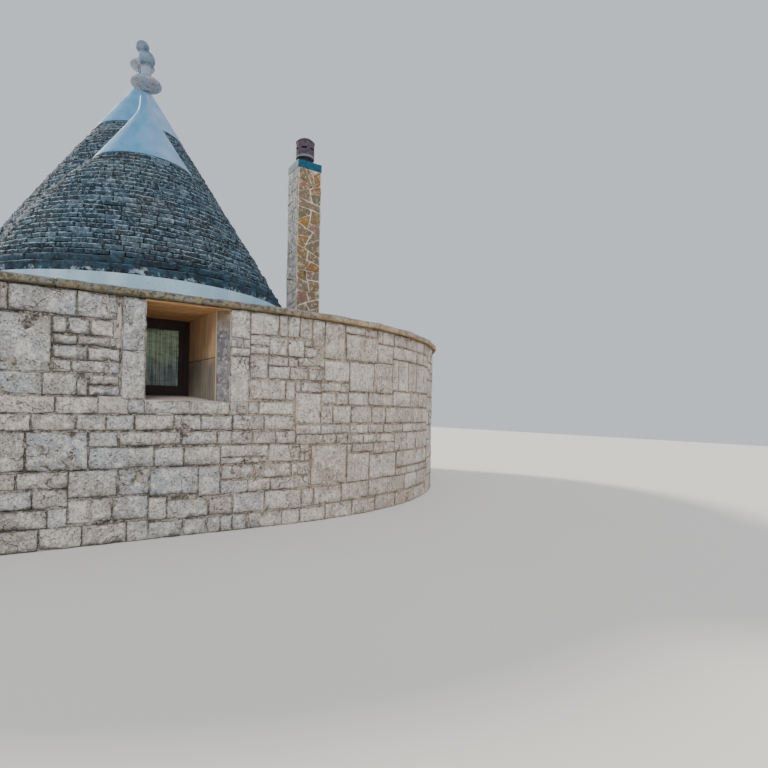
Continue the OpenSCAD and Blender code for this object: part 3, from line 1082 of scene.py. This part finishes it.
def makePaving():
    rng = random.Random(paving["seed"])
    low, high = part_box("chimney_shaft")
    size = high - low
    sides = []
    for number in range(4):
        nothingSelected()
        bpy.ops.mesh.primitive_plane_add(size=1, rotation=(math.radians(90), 0, 0))
        side = bpy.context.object
        side.name = "paving" + str(number)
        side.scale = (size.x, size.z, 1)
        freeze(side)
        edit(side)
        for cut in range(paving["cuts"]):
            spot, run, normal = biggestFace(side, rng)
            across = (run + normal.cross(run) * rng.uniform(-paving["slant"], paving["slant"])).normalized()
            spot = spot + run * rng.uniform(-paving["offMiddle"], paving["offMiddle"])
            bpy.ops.mesh.bisect(plane_co=spot, plane_no=across)
        bpy.ops.mesh.select_all(action="SELECT")
        bpy.ops.transform.vertex_random(offset=paving["uneven"], uniform=0.0, seed=number)
        bpy.ops.mesh.inset(thickness=paving["joint"], use_even_offset=False, use_individual=True)
        bpy.ops.mesh.select_all(action="INVERT")
        bpy.ops.mesh.delete(type="FACE")
        bpy.ops.mesh.select_all(action="SELECT")
        bpy.ops.mesh.bevel(offset=paving["round"], segments=2, affect="VERTICES")
        bpy.ops.mesh.select_all(action="SELECT")
        out = -paving["proud"] - paving["sunk"]
        bpy.ops.mesh.extrude_region_move(TRANSFORM_OT_translate={"value": (0, out, 0)})
        bpy.ops.mesh.inset(thickness=paving["edge"], depth=paving["edge"] * 0.6, use_even_offset=False,
                           use_individual=True)
        leaveEdit()
        turn = Matrix.Rotation(number * math.pi / 2, 4, "Z")
        face = Matrix.Translation((0, -size.y / 2 + paving["sunk"], 0))
        side.matrix_world = Matrix.Translation((low + high) / 2) @ turn @ face
        sides.append(side)
    piece = joined(sides, "chimneyPaving")
    edit(piece)
    turnFacesOut()
    leaveEdit()
    jitter(piece, paving["chips"], 3)
    smooth(piece, 30)
    print("trullo: chimney faced")
    return belongs(piece, "chimney_cladding")


# squared stones lining the doorway

revealing = {
    "heights": (0.46, 0.37, 0.50, 0.41),
    "least": 0.15,
    "split": 0.55,
    "proud": 0.006,
    "block": (0.3, 0.4),
    "cells": (5, 6),
    "depth": 0.05,
    "joint": 0.007,
    "lean": 0.006,
    "waves": (0.012, 0.12),
    "seed": 3,
}


def makeDoorReveal():
    rng = random.Random(revealing["seed"])
    low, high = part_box("wall_over_door")
    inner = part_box("door_frame")[1][1]
    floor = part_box("door_step")[1][2]
    reach = high[1] - inner
    joint, depth, proud = revealing["joint"], revealing["depth"], revealing["proud"]
    rows = [floor]
    for height in revealing["heights"]:
        if rows[-1] + height < low[2] - revealing["least"]:
            rows.append(rows[-1] + height)
    rows.append(low[2])
    block = makeBlock("revealBlock", (*revealing["block"], depth), revealing["cells"], walling["roundness"])
    copies = []
    for side in (-1, 1):
        for number, (bottom, top) in enumerate(zip(rows, rows[1:])):
            cut = inner + reach * (revealing["split"] if number % 2 else 1 - revealing["split"])
            for near, far in ((inner, cut), (cut, high[1])):
                spot = Vector((side * (high[0] - proud), (near + far) / 2, (bottom + top) / 2))
                copies.append(placeBlock(block, far - near - joint, top - bottom - joint, depth, spot,
                                         -side * math.pi / 2, rng.gauss(0, revealing["lean"])))
    spot = Vector((0, (inner + high[1]) / 2, low[2] - proud))
    copies.append(placeBlock(block, high[0] - low[0] - joint, reach - joint, depth, spot, 0.0, math.pi / 2))
    piece = joined(copies, "doorReveal")
    jitter(piece, walling["chips"], 8)
    roughen(piece, *revealing["waves"], 8)
    smooth(piece, 50)
    remove([block])
    print("trullo: doorway lined")
    return belongs(piece, "wall_stone")


# boards of the door

doorBoards = {"count": 6, "gap": 0.004, "proud": 0.008, "bevel": 0.003, "sunk": 0.01, "ends": 0.002}


def makeDoorBoards():
    low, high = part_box("door_leaf")
    step = (high[0] - low[0]) / doorBoards["count"]
    back, front = high[1] - doorBoards["sunk"], high[1] + doorBoards["proud"]
    foot, head = low[2] + doorBoards["ends"], high[2] - doorBoards["ends"]
    boards = []
    for i in range(doorBoards["count"]):
        left = low[0] + i * step + doorBoards["gap"] / 2
        right = left + step - doorBoards["gap"]
        boards.append(makeBoard("doorBoard", Vector((left, back, foot)), Vector((right, front, head)),
                                doorBoards["bevel"]))
    piece = joined(boards, "doorBoards")
    smooth(piece, 40)
    return belongs(piece, "dark_wood")


wallStones = makeWallStones()
farStart = pointing["near"][1]
farStep = (2 * halfRound + pointing["near"][0] - farStart) / pointing["farRuns"]
mortar = [makePointing(0, *pointing["near"])]
for number in range(pointing["farRuns"]):
    start = farStart + number * farStep
    mortar.append(makePointing(number + 1, start, start + farStep, pointing["farCell"]))
print("trullo: joints pointed")
rear, front = (readCone(*cone) for cone in coning["cones"])
coneStones = [makeConeStones(rear, front), makeConeStones(front, rear)]
caps = [makeCap("cap_front", capping["flareFront"], 2), makeCap("cap_rear", capping["flareRear"], 3)]
pinnacleNodes = ("pinnacle_front", "pinnacle_rear")
pinnacles = [makePinnacle(name, seed) for name, seed in zip(pinnacleNodes, (4, 6))]
print("trullo: caps and pinnacles set")
ledgeSlabs, ledgeBedding = makeLedge()
soffit = makeSoffit()
curtain = makeCurtain()
chimneyPaving = makePaving()
doorReveal = makeDoorReveal()
doorFront = makeDoorBoards()
print("trullo: boards and curtain made")


# finishes

# on the wall and the ledge, side goes from 0 on the cool left to 1 on the warm right; the cool and warm tints
# are partly the stone's own colour and partly painted light: blue sky shade on the left, warm bounce light on
# the right

def lichenPatches(f, side):
    return f.band(f.noise(1.9, 4, 0.65), 0.40, 0.56) * f.band(side, 0.35, 0.0, 0.3, 1.0)


def finishWallStone():
    f = Finish("pale limestone")
    each = f.eachPiece()
    other = f.maths("FRACT", each * 7.31)
    side = f.band(f.part("X") + f.wobble(3, 0.6), -0.6, 3.4)
    clouds = f.noise(2.6, 4, 0.6)
    blotches = f.noise(8, 5, 0.7)
    grain = f.noise(30, 5, 0.8)
    tooling = f.noise(6, 4, 0.7, f.stretched((11, 11, 1.2), (0, 0.15, 0)))
    # cool to warm across the wall: partly the stone's own tone, partly painted blue shade on the left and
    # warm bounce light on the right
    colour = f.mix(side, f.mix(each, "A9AFB6", "CFC9C1"), f.mix(each, "DCCFC3", "F3EBE2"))
    colour = f.over(colour, f.mix(side, "8F887F", "B39E8C"), other, 0.45, 0.95, 0.5)
    colour = f.over(colour, f.mix(side, "9D9389", "BBA898"), clouds, 0.42, 0.60, 0.5)
    colour = f.over(colour, f.mix(side, "E6E2DB", "EFE4D6"), blotches, 0.50, 0.60, 0.65)
    colour = f.over(colour, f.mix(side, "8A857F", "A18E7B"), blotches, 0.46, 0.36, 0.45)
    colour = f.mix(f.band(tooling, 0.49, 0.59, 0, 0.6) * (side * 0.75 + 0.25), colour, "93857A")
    colour = f.over(colour, "80766A", grain, 0.50, 0.60, 0.45)
    colour = f.over(colour, "F2EDE5", grain, 0.47, 0.38, 0.45)
    ragged = f.noise(15, 5, 0.75)
    lichen = lichenPatches(f, side)
    near = f.nearestEdge()
    edge = near + (ragged - 0.5) * 0.11
    colour = f.mix(f.band(edge, 0.024, -0.006, 0, 0.85) * (lichen * 0.6 + 0.4), colour,
                   f.mix(side, "6A645C", "A08D7D"))
    line = near + f.wobble(0.05, 35, 4, 0.8)
    colour = f.over(colour, f.mix(side, "4A453E", "7F6B5A"), line, 0.008, 0.001, 0.75)
    foot = f.fromEdge("lower") + f.wobble(0.3, 24, 5, 0.8)
    colour = f.mix(f.band(foot, 0.050, 0.0, 0, 0.8) * lichen, colour, "38352F")
    pits = f.band(f.noise(48, 4, 0.8), 0.56, 0.61, 0, 0.85)
    colour = f.mix(pits * f.band(blotches, 0.44, 0.54, 1, 0.25), colour, "4A423A")
    veins = f.cells(1.7, "DISTANCE_TO_EDGE", f.warped(5, 0.35))
    cracks = f.band(veins, 0.010, 0.003) * f.band(clouds, 0.51, 0.54)
    colour = f.mix(cracks * 0.7, colour, "4A4139")
    height = (grain * 0.8 + tooling * (side + 0.2) * 0.8 + ragged * 0.8
              + blotches * 1.8 - pits * 0.6 - cracks * 0.8)
    return f.done(colour, 0.92, f.bump(height, 0.014))


def finishCement():
    f = Finish("cement fillings")
    colour = f.over("858A92", "B7B1A8", f.noise(7, 4, 0.7), 0.40, 0.60)
    colour = f.over(colour, "676259", f.noise(20, 5, 0.8), 0.50, 0.58, 0.75)
    colour = f.over(colour, "D6D0C7", f.noise(30, 5, 0.8), 0.52, 0.60, 0.7)
    edge = f.nearestEdge() + f.wobble(0.3, 9, 5, 0.75)
    colour = f.over(colour, f.mix(f.noise(16, 4, 0.7), "8E877D", "C6BEB3"), edge, 0.050, 0.0)
    return f.done(colour, 0.93, f.bump(f.noise(30, 5, 0.75), 0.008, 0.9))


def finishJoints():
    f = Finish("lime and earth in the joints")
    side = f.band(f.part("X") + f.wobble(2, 0.7), -0.5, 3.0)
    lichen = lichenPatches(f, side)
    # cool to warm across the joints: partly their own tone, partly painted blue shade on the left and warm
    # bounce light on the right
    lime = f.mix(side, "989489", "B7A795")
    earth = f.mix(side, "5E5851", "86725F")
    colour = f.over(lime, earth, f.noise(13, 5, 0.75) + lichen * 0.08, 0.47, 0.60)
    dark = f.band(f.noise(26, 5, 0.85), 0.48, 0.56, 0, 0.75) * lichen
    colour = f.mix(dark, colour, f.mix(side, "262420", "4A3E33"))
    colour = f.over(colour, "C4BCB1", f.noise(40, 4, 0.8), 0.54, 0.62, 0.6)
    return f.done(colour, 0.95, f.bump(f.noise(50, 5, 0.75) + f.noise(16, 4, 0.7), 0.012))


def finishConeStone():
    f = Finish("grey lapped stone")
    each = f.eachPiece()
    low = f.band(f.part("Z") + f.wobble(0.3, 2), 3.50, 3.25)
    colour = f.ramp(each, (0.0, "14232F"), (0.3, "203645"), (0.55, "2D4554"), (0.8, "3C5362"),
                    (1.0, "5F7482"))
    colour = f.over(colour, "464443", f.noise(1.7, 4), 0.48, 0.60, 0.4)
    colour = f.over(colour, "1E262E", f.noise(10, 5, 0.75), 0.48, 0.58, 0.5)
    speckle = f.noise(22, 5, 0.85)
    colour = f.over(colour, "869DAA", speckle, 0.53, 0.60, 0.6)
    colour = f.over(colour, "141A1F", speckle, 0.46, 0.39, 0.6)
    # painted highlight: a pale line along the upper edge of each stone, where sunlight catches it
    upper = f.fromEdge("upper") + f.wobble(0.08, 20, 4, 0.75)
    colour = f.over(colour, "8BA2AE", upper, 0.016, 0.002, 0.85)
    sheet = f.over("081923", "1C3F52", f.noise(9, 5, 0.75), 0.42, 0.58)
    colour = f.mix(low * 0.85, colour, sheet)
    # painted shadow: a near-black band in the bed joint along the lower edge of each stone
    lower = f.fromEdge("lower") + f.wobble(0.04, 18, 4, 0.7)
    colour = f.over(colour, "0C0F12", lower, 0.022, 0.008, 0.95)
    colour = f.over(colour, "0C0F12", f.fromEnds(), 0.008, 0.002, 0.5)
    smear = f.band(f.part("Z") + f.wobble(0.4, 3, 4, 0.7), 3.15, 3.09)
    colour = f.mix(smear * f.band(f.noise(13, 4, 0.7), 0.50, 0.58, 0, 0.8), colour, "A3B4BE")
    height = f.noise(30, 5, 0.75) * 1.2 + f.noise(9, 4, 0.6) * 1.5
    return f.done(colour, 0.93, f.bump(height, 0.011, 0.8))


# painted shade: the core behind the stones is near black, so the gaps between them read as shade
def finishConeCore():
    f = Finish("dark gaps")
    colour = f.mix(f.noise(20, 4), "101112", "2A2A2A")
    return f.done(colour, 0.97, f.bump(f.noise(40), 0.004))


def finishWhitewash():
    f = Finish("whitewash")
    streaks = f.noise(2.2, 4, 0.6, f.stretched((2, 2, 0.5)))
    # painted shade: the whitewash is tinted sky blue, pale on the band and deeper on the caps, for white
    # lying in blue sky shade
    high = f.band(f.part("Z"), 3.2, 4.2)
    skyShadedWash = f.mix(high, "AEC6D4", "5C93B9")
    colour = f.over(skyShadedWash, f.mix(high, "98B3C4", "4D86AC"), streaks, 0.36, 0.64)
    # painted light by which way the surface looks: a paler lilac where it looks right, a painted sunlit white
    # rim where it looks left, and plain white all round behind, where no blue shade is painted
    across = f.facing("X") * 0.84 - f.facing("Y") * 0.54 + f.wobble(0.2, 5, 4, 0.7)
    lilac = f.band(across + f.noise(2, 4, 0.6) - 0.5, 0.25, 1.1, 0, 0.7)
    colour = f.mix(lilac, colour, f.mix(high, "8FAEC4", "A4B3D2"))
    behind = f.facing("X") * 0.54 + f.facing("Y") * 0.84 + f.wobble(0.2, 5, 4, 0.7)
    sunlitRimAndBack = f.maths("MAXIMUM", f.band(across, -0.42, -0.61), f.band(behind, 0.0, 0.5))
    colour = f.mix(sunlitRimAndBack * high, colour, "EEF1F4")
    # painted shade: faces looking down turn grey
    colour = f.over(colour, "7F8F9B", f.facing("Z"), -0.05, -0.4, 0.8)
    colour = f.over(colour, "41596A", f.noise(24, 5, 0.8), 0.60, 0.66, 0.6)
    height = f.noise(14, 5, 0.65) + f.noise(4, 3) * 1.5
    return f.done(colour, 0.88, f.bump(height, 0.012, 0.6))


def finishPinnacle():
    f = Finish("weathered pinnacle stone")
    # the blue in the stone is painted sky shade; the pinkish and grey patches are its own colour
    colour = f.mix(f.noise(7, 4, 0.6), "7795AC", "A6ABB5")
    colour = f.over(colour, "B59A8A", f.noise(9, 4, 0.6), 0.50, 0.62, 0.4)
    colour = f.over(colour, "626A74", f.noise(14, 4, 0.7), 0.53, 0.64, 0.7)
    colour = f.over(colour, "41576B", f.facing("Z"), 0.2, 0.7, 0.75)
    # painted shade: the balls are darker blue than the discs
    rise = f.part("Z")
    tops = [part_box(name)[1][2] for name in pinnacleNodes]
    balls = [f.band(rise, top - 0.30, top - 0.24) * f.band(rise, top + 0.02, top + 0.01) for top in tops]
    shade = f.maths("MAXIMUM", *balls) * f.band(f.noise(6, 4, 0.7), 0.35, 0.60, 0.85, 0.35)
    colour = f.mix(shade, colour, "3C6280")
    return f.done(colour, 0.93, f.bump(f.noise(45, 5, 0.7) + f.noise(12, 4), 0.008, 0.9))


def finishLedge():
    f = Finish("ledge stone")
    each = f.eachPiece()
    side = f.band(f.part("X") + f.wobble(3, 0.8), -0.8, 3.2)
    # cool to warm along the ledge: partly its own tone, partly painted blue shade on the left and warm bounce
    # light on the right
    colour = f.mix(side, f.mix(each, "64655B", "808077"), f.mix(each, "A08D78", "BBA68E"))
    colour = f.over(colour, "8A7A58", f.noise(6, 4, 0.65), 0.48, 0.60, 0.7)
    colour = f.over(colour, f.mix(side, "8C8A80", "B6B0A8"), f.noise(8, 5, 0.7), 0.52, 0.62, 0.6)
    stains = f.band(f.noise(21, 5, 0.82) - side * 0.05, 0.47, 0.55, 0, 0.8)
    colour = f.mix(stains, colour, f.mix(side, "33352F", "5E4E3E"))
    under = f.fromEdge("lower") + f.wobble(0.05, 12, 4)
    colour = f.over(colour, f.mix(side, "4E4630", "86642E"), under, 0.030, 0.006, 0.75)
    top = f.maths("MAXIMUM", f.band(f.facing("Z"), 0.25, 0.7),
                  f.band(f.fromEdge("upper") + f.wobble(0.06, 15, 4, 0.7), 0.020, 0.004))
    weathered = f.mix(f.noise(10, 4, 0.7), f.mix(side, "3E4A52", "66757E"), "95A1A8")
    weathered = f.over(weathered, "9B968B", f.noise(2.6, 4, 0.7), 0.46, 0.60, 0.6)
    weathered = f.over(weathered, "3B4043", f.noise(18, 5, 0.8), 0.52, 0.60, 0.7)
    colour = f.mix(top * 0.85, colour, weathered)
    return f.done(colour, 0.93, f.bump(f.noise(36, 5, 0.75) + f.noise(9, 3) * 1.5, 0.014))


def finishRoof():
    f = Finish("roof screed")
    colour = f.over("C9C9C6", "8F9294", f.noise(1.4, 4, 0.6), 0.35, 0.7)
    colour = f.over(colour, "4E5052", f.noise(30, 5, 0.8), 0.6, 0.72, 0.6)
    return f.done(colour, 0.92, f.bump(f.noise(22, 5, 0.7), 0.008, 0.8))


def finishJamb():
    # the smooth inner part by the frame, a pale arris, then the rough splay and the face
    f = Finish("window side stone")
    deep = f.part("Y")
    streaks = f.noise(4, 5, 0.7, f.stretched((3, 9, 0.5)))
    # the inner part turns warm orange towards the top, partly the stone's tone and partly painted bounce
    # light from the boards above
    rise = f.band(f.part("Z") + f.wobble(0.2, 3), 1.95, 2.15)
    inner = f.mix(rise, "978E82", "CDAE8A")
    inner = f.over(inner, f.mix(rise, "696157", "9E7E58"), streaks, 0.42, 0.60, 0.65)
    joint = f.band(f.maths("ABSOLUTE", f.part("Z") + f.wobble(0.03, 9) - 2.05), 0.010, 0.003, 0, 0.85)
    inner = f.mix(joint, inner, "54463A")
    outer = f.over("62626A", "7E7B7C", f.noise(4, 4, 0.65, f.stretched((2, 2, 0.6))), 0.42, 0.58)
    outer = f.over(outer, "4F4C4A", f.noise(12, 5, 0.8), 0.50, 0.58, 0.65)
    outer = f.over(outer, "B4B0AF", f.noise(19, 5, 0.8), 0.53, 0.60, 0.7)
    stainAndShade = f.band(f.part("Z") + f.wobble(0.5, 7, 4, 0.7), 2.32, 2.56, 0, 0.75)
    outer = f.mix(stainAndShade, outer, "85704E")
    colour = f.over(outer, inner, deep, -4.72, -4.68)
    arris = f.band(f.maths("ABSOLUTE", deep + f.wobble(0.02, 14) + 4.69), 0.030, 0.014, 0, 0.8)
    colour = f.mix(arris, colour, "D8C9AC")
    colour = f.over(colour, "A9A5A0", f.facing("Y"), -0.9, -0.98)
    colour = f.over(colour, "4D453E", f.noise(40, 5, 0.8), 0.60, 0.69, 0.5)
    return f.done(colour, 0.9, f.bump(f.noise(35, 5, 0.7) + f.noise(10, 3), 0.008, 0.8))


def finishSill():
    f = Finish("sill stone")
    colour = f.mix(f.noise(5, 4, 0.6), "C9C3BE", "A99F99")
    colour = f.over(colour, "6C6259", f.noise(44, 5, 0.8), 0.6, 0.7, 0.5)
    return f.done(colour, 0.88, f.bump(f.noise(40, 5, 0.7), 0.004, 0.7))


def finishBoards(name, light, dark, stretch, gloss):
    f = Finish(name)
    grain = f.noise(3.5, 6, 0.7, f.stretched(stretch))
    fine = f.noise(12, 5, 0.7, f.stretched(stretch))
    colour = f.over(light, dark, grain, 0.35, 0.68)
    colour = f.over(colour, dark, fine, 0.50, 0.60, 0.7)
    colour = f.mix(f.eachPiece() * 0.35, colour, dark)
    return f.done(colour, gloss, f.bump(fine + grain, 0.002, 0.7))


def finishGlass():
    f = Finish("old window glass")
    # painted reflection: greener and brighter towards the top, blue-grey lower down
    rise = f.band(f.part("Z") + f.wobble(0.25, 4), 1.90, 2.20)
    colour = f.mix(rise, "7A9499", "B4D8A8")
    colour = f.over(colour, "566A58", f.noise(9, 4, 0.7), 0.5, 0.6, 0.6)
    lines = f.noise(1, 3, 0.7, f.stretched((70, 70, 1.2)))
    rows = f.noise(1, 3, 0.7, f.stretched((6, 6, 55)))
    colour = f.over(colour, "D5DFD6", lines, 0.46, 0.60, 0.6)
    colour = f.over(colour, "4E5E58", rows, 0.50, 0.62, 0.4)
    return f.done(colour, 0.08, f.bump(f.noise(5, 2), 0.002, 0.4),
                  alpha=f.band(lines, 0.35, 0.65, 0.45, 0.8))


def finishLace():
    f = Finish("lace")
    threads = f.noise(30, 3, 0.6, f.stretched((6, 6, 0.4)))
    colour = f.mix(threads, "F0F1E8", "B9BCB2")
    net = f.band(f.cells(160), 0.25, 0.5, 0.95, 0.5)
    return f.done(colour, 0.95, f.bump(f.noise(200), 0.001), alpha=net)


def finishMortar():
    f = Finish("cream mortar")
    colour = f.over("DAD1C3", "A09480", f.noise(9, 4, 0.7), 0.40, 0.60)
    colour = f.over(colour, "82755F", f.noise(30, 5, 0.8), 0.52, 0.60, 0.7)
    # the faces looking left are pale, partly plaster and partly painted sunlight
    pale = f.over("E4DFDA", "A59D93", f.noise(24, 5, 0.8), 0.46, 0.58)
    colour = f.over(colour, pale, f.facing("X"), -0.4, -0.8)
    return f.done(colour, 0.93, f.bump(f.noise(60, 5, 0.7), 0.006, 0.9))


def finishPaving():
    f = Finish("chimney facing stones")
    each = f.eachPiece()
    colour = f.ramp(each, (0.0, "8C5D1E"), (0.18, "7F6B55"), (0.36, "6A6453"), (0.52, "86683A"),
                    (0.68, "776B60"), (0.84, "86655F"), (1.0, "A0701F"))
    colour = f.over(colour, "6E5E47", f.noise(9, 5, 0.7), 0.44, 0.60, 0.6)
    colour = f.over(colour, "C2B598", f.noise(14, 5, 0.8), 0.53, 0.60, 0.75)
    streaks = f.noise(13, 5, 0.8, f.stretched((1.6, 1.6, 0.5)))
    # the faces looking left are pale, partly plaster and partly painted sunlight
    pale = f.over("F8F5F2", "C9C3BC", streaks, 0.46, 0.60)
    pale = f.over(pale, "6B6258", f.noise(24, 5, 0.8), 0.54, 0.60, 0.8)
    colour = f.over(colour, pale, f.facing("X"), -0.4, -0.8, 0.95)
    colour = f.over(colour, "4A4037", f.noise(42, 5, 0.8), 0.55, 0.61, 0.75)
    return f.done(colour, 0.9, f.bump(f.noise(45, 5, 0.7) + f.noise(12, 3) * 1.5 + streaks, 0.012))


def finishSlab():
    f = Finish("chimney slab stone")
    # painted shade: the face looking to the front is deep sky-blue shade; the other faces keep the grey stone
    stainAndShade = f.mix(f.noise(8, 4, 0.6), "0A4562", "1C5C79")
    stainAndShade = f.over(stainAndShade, "132530", f.noise(22, 5, 0.8), 0.50, 0.58, 0.85)
    bare = f.mix(f.noise(8, 4, 0.6), "9CA4A8", "7B858A")
    bare = f.over(bare, "4C555A", f.noise(22, 5, 0.8), 0.52, 0.60, 0.6)
    # painted sunlight: the faces looking left are paler
    bare = f.over(bare, "B4BABD", f.facing("X"), -0.4, -0.8, 0.8)
    colour = f.over(bare, stainAndShade, f.facing("Y"), -0.4, -0.8)
    return f.done(colour, 0.92, f.bump(f.noise(40, 5, 0.7), 0.006, 0.8))


def finishClay():
    f = Finish("old clay cowl")
    colour = f.mix(f.noise(6, 4, 0.6), "403742", "5A4E5C")
    colour = f.over(colour, "28242C", f.noise(20, 5, 0.75), 0.50, 0.58, 0.7)
    rim = f.part("Z") - cowlFoot
    # painted shadow: a near-black band at the foot, for the shade of a recessed collar under the drum
    colour = f.over(colour, "1B1F26", rim, 0.118, 0.108)
    colour = f.over(colour, "7E8794", f.maths("ABSOLUTE", rim - 0.142), 0.022, 0.014, 0.6)
    return f.done(colour, 0.85, f.bump(f.noise(40, 4), 0.004, 0.8))


def finishFloorStone():
    f = Finish("floor stone")
    colour = f.mix(f.noise(3, 4, 0.6), "B5AEA4", "8F8881")
    return f.done(colour, 0.85, f.bump(f.noise(30, 5, 0.7), 0.004, 0.7))


def dress(material, *things):
    # a finish on new pieces, or on frame nodes by name
    for thing in things:
        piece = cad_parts[thing] if isinstance(thing, str) else thing
        if not piece.material_slots:
            piece.data.materials.append(material)
        for place in piece.material_slots:
            place.material = material


dress(finishWallStone(), doorReveal, *wallStones[:-1])
dress(finishCement(), wallStones[-1])
dress(finishJoints(), ledgeBedding, *mortar, *(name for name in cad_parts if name.startswith("wall_")))
dress(finishConeStone(), *coneStones)
dress(finishConeCore(), "cone_front", "cone_rear", "dome_front", "dome_rear")
dress(finishWhitewash(), *caps, "cap_front", "cap_rear", "band_front", "band_rear")
dress(finishPinnacle(), *pinnacles, *pinnacleNodes)
dress(finishLedge(), ledgeSlabs, *ledging["nodes"])
dress(finishRoof(), "roof_left", "roof_right")
dress(finishJamb(), "jamb_left", "jamb_right")
dress(finishSill(), "window_sill")
dress(finishBoards("soffit wood", "E9BC88", "96673B", (0.6, 14, 14), 0.75), soffit, "soffit_boards")
dress(finishBoards("dark wood", "331910", "190D08", (14, 14, 0.6), 0.55), doorFront,
      "window_frame", "window_sash", "door_frame", "door_leaf")
dress(finishGlass(), "window_glass")
dress(finishLace(), curtain, "window_curtain")
dress(finishMortar(), "chimney_shaft")
dress(finishPaving(), chimneyPaving)
dress(finishSlab(), "chimney_slab")
dress(finishClay(), "cowl_pipe", "cowl_lid")
dress(finishFloorStone(), "floor_slab", "door_step")
print("trullo: finishes given")


# pale floor and soft light

studio = {
    "floorSize": 60.0,
    "floorTop": -0.001,
    "skyStrength": 0.87,
    "skyColour": "E4EAF2",
    "suns": (
        # name, strength, colour, spread, and turn about X and Z
        ("key", 5.5, "FFF3E2", 6.0, 62.0, -150.0),
        ("fill", 1.7, "FFFBF6", 25.0, 50.0, -25.0),
    ),
}


def makeStudio():
    nothingSelected()
    bpy.ops.mesh.primitive_plane_add(size=studio["floorSize"], location=(0, 0, studio["floorTop"]))
    floor = bpy.context.object
    floor.name = "paleFloor"
    freeze(floor)
    f = Finish("pale floor")
    dress(f.done(f.mix(f.noise(0.4, 2), "D9D7D2", "D3D1CC"), 0.9), floor)
    for name, strength, colour, spread, tip, turn in studio["suns"]:
        bpy.ops.object.light_add(type="SUN", location=(0, 0, 20),
                                 rotation=(math.radians(tip), 0, math.radians(turn)))
        sun = bpy.context.object
        sun.name = name
        sun.data.energy = strength
        sun.data.color = paint(colour)[:3]
        sun.data.angle = math.radians(spread)
    world = bpy.data.worlds.new("pale sky")
    world.use_nodes = True
    sky = world.node_tree.nodes["Background"]
    sky.inputs["Color"].default_value = paint(studio["skyColour"])
    sky.inputs["Strength"].default_value = studio["skyStrength"]
    scene.world = world


makeStudio()
print("trullo: floor and light set")
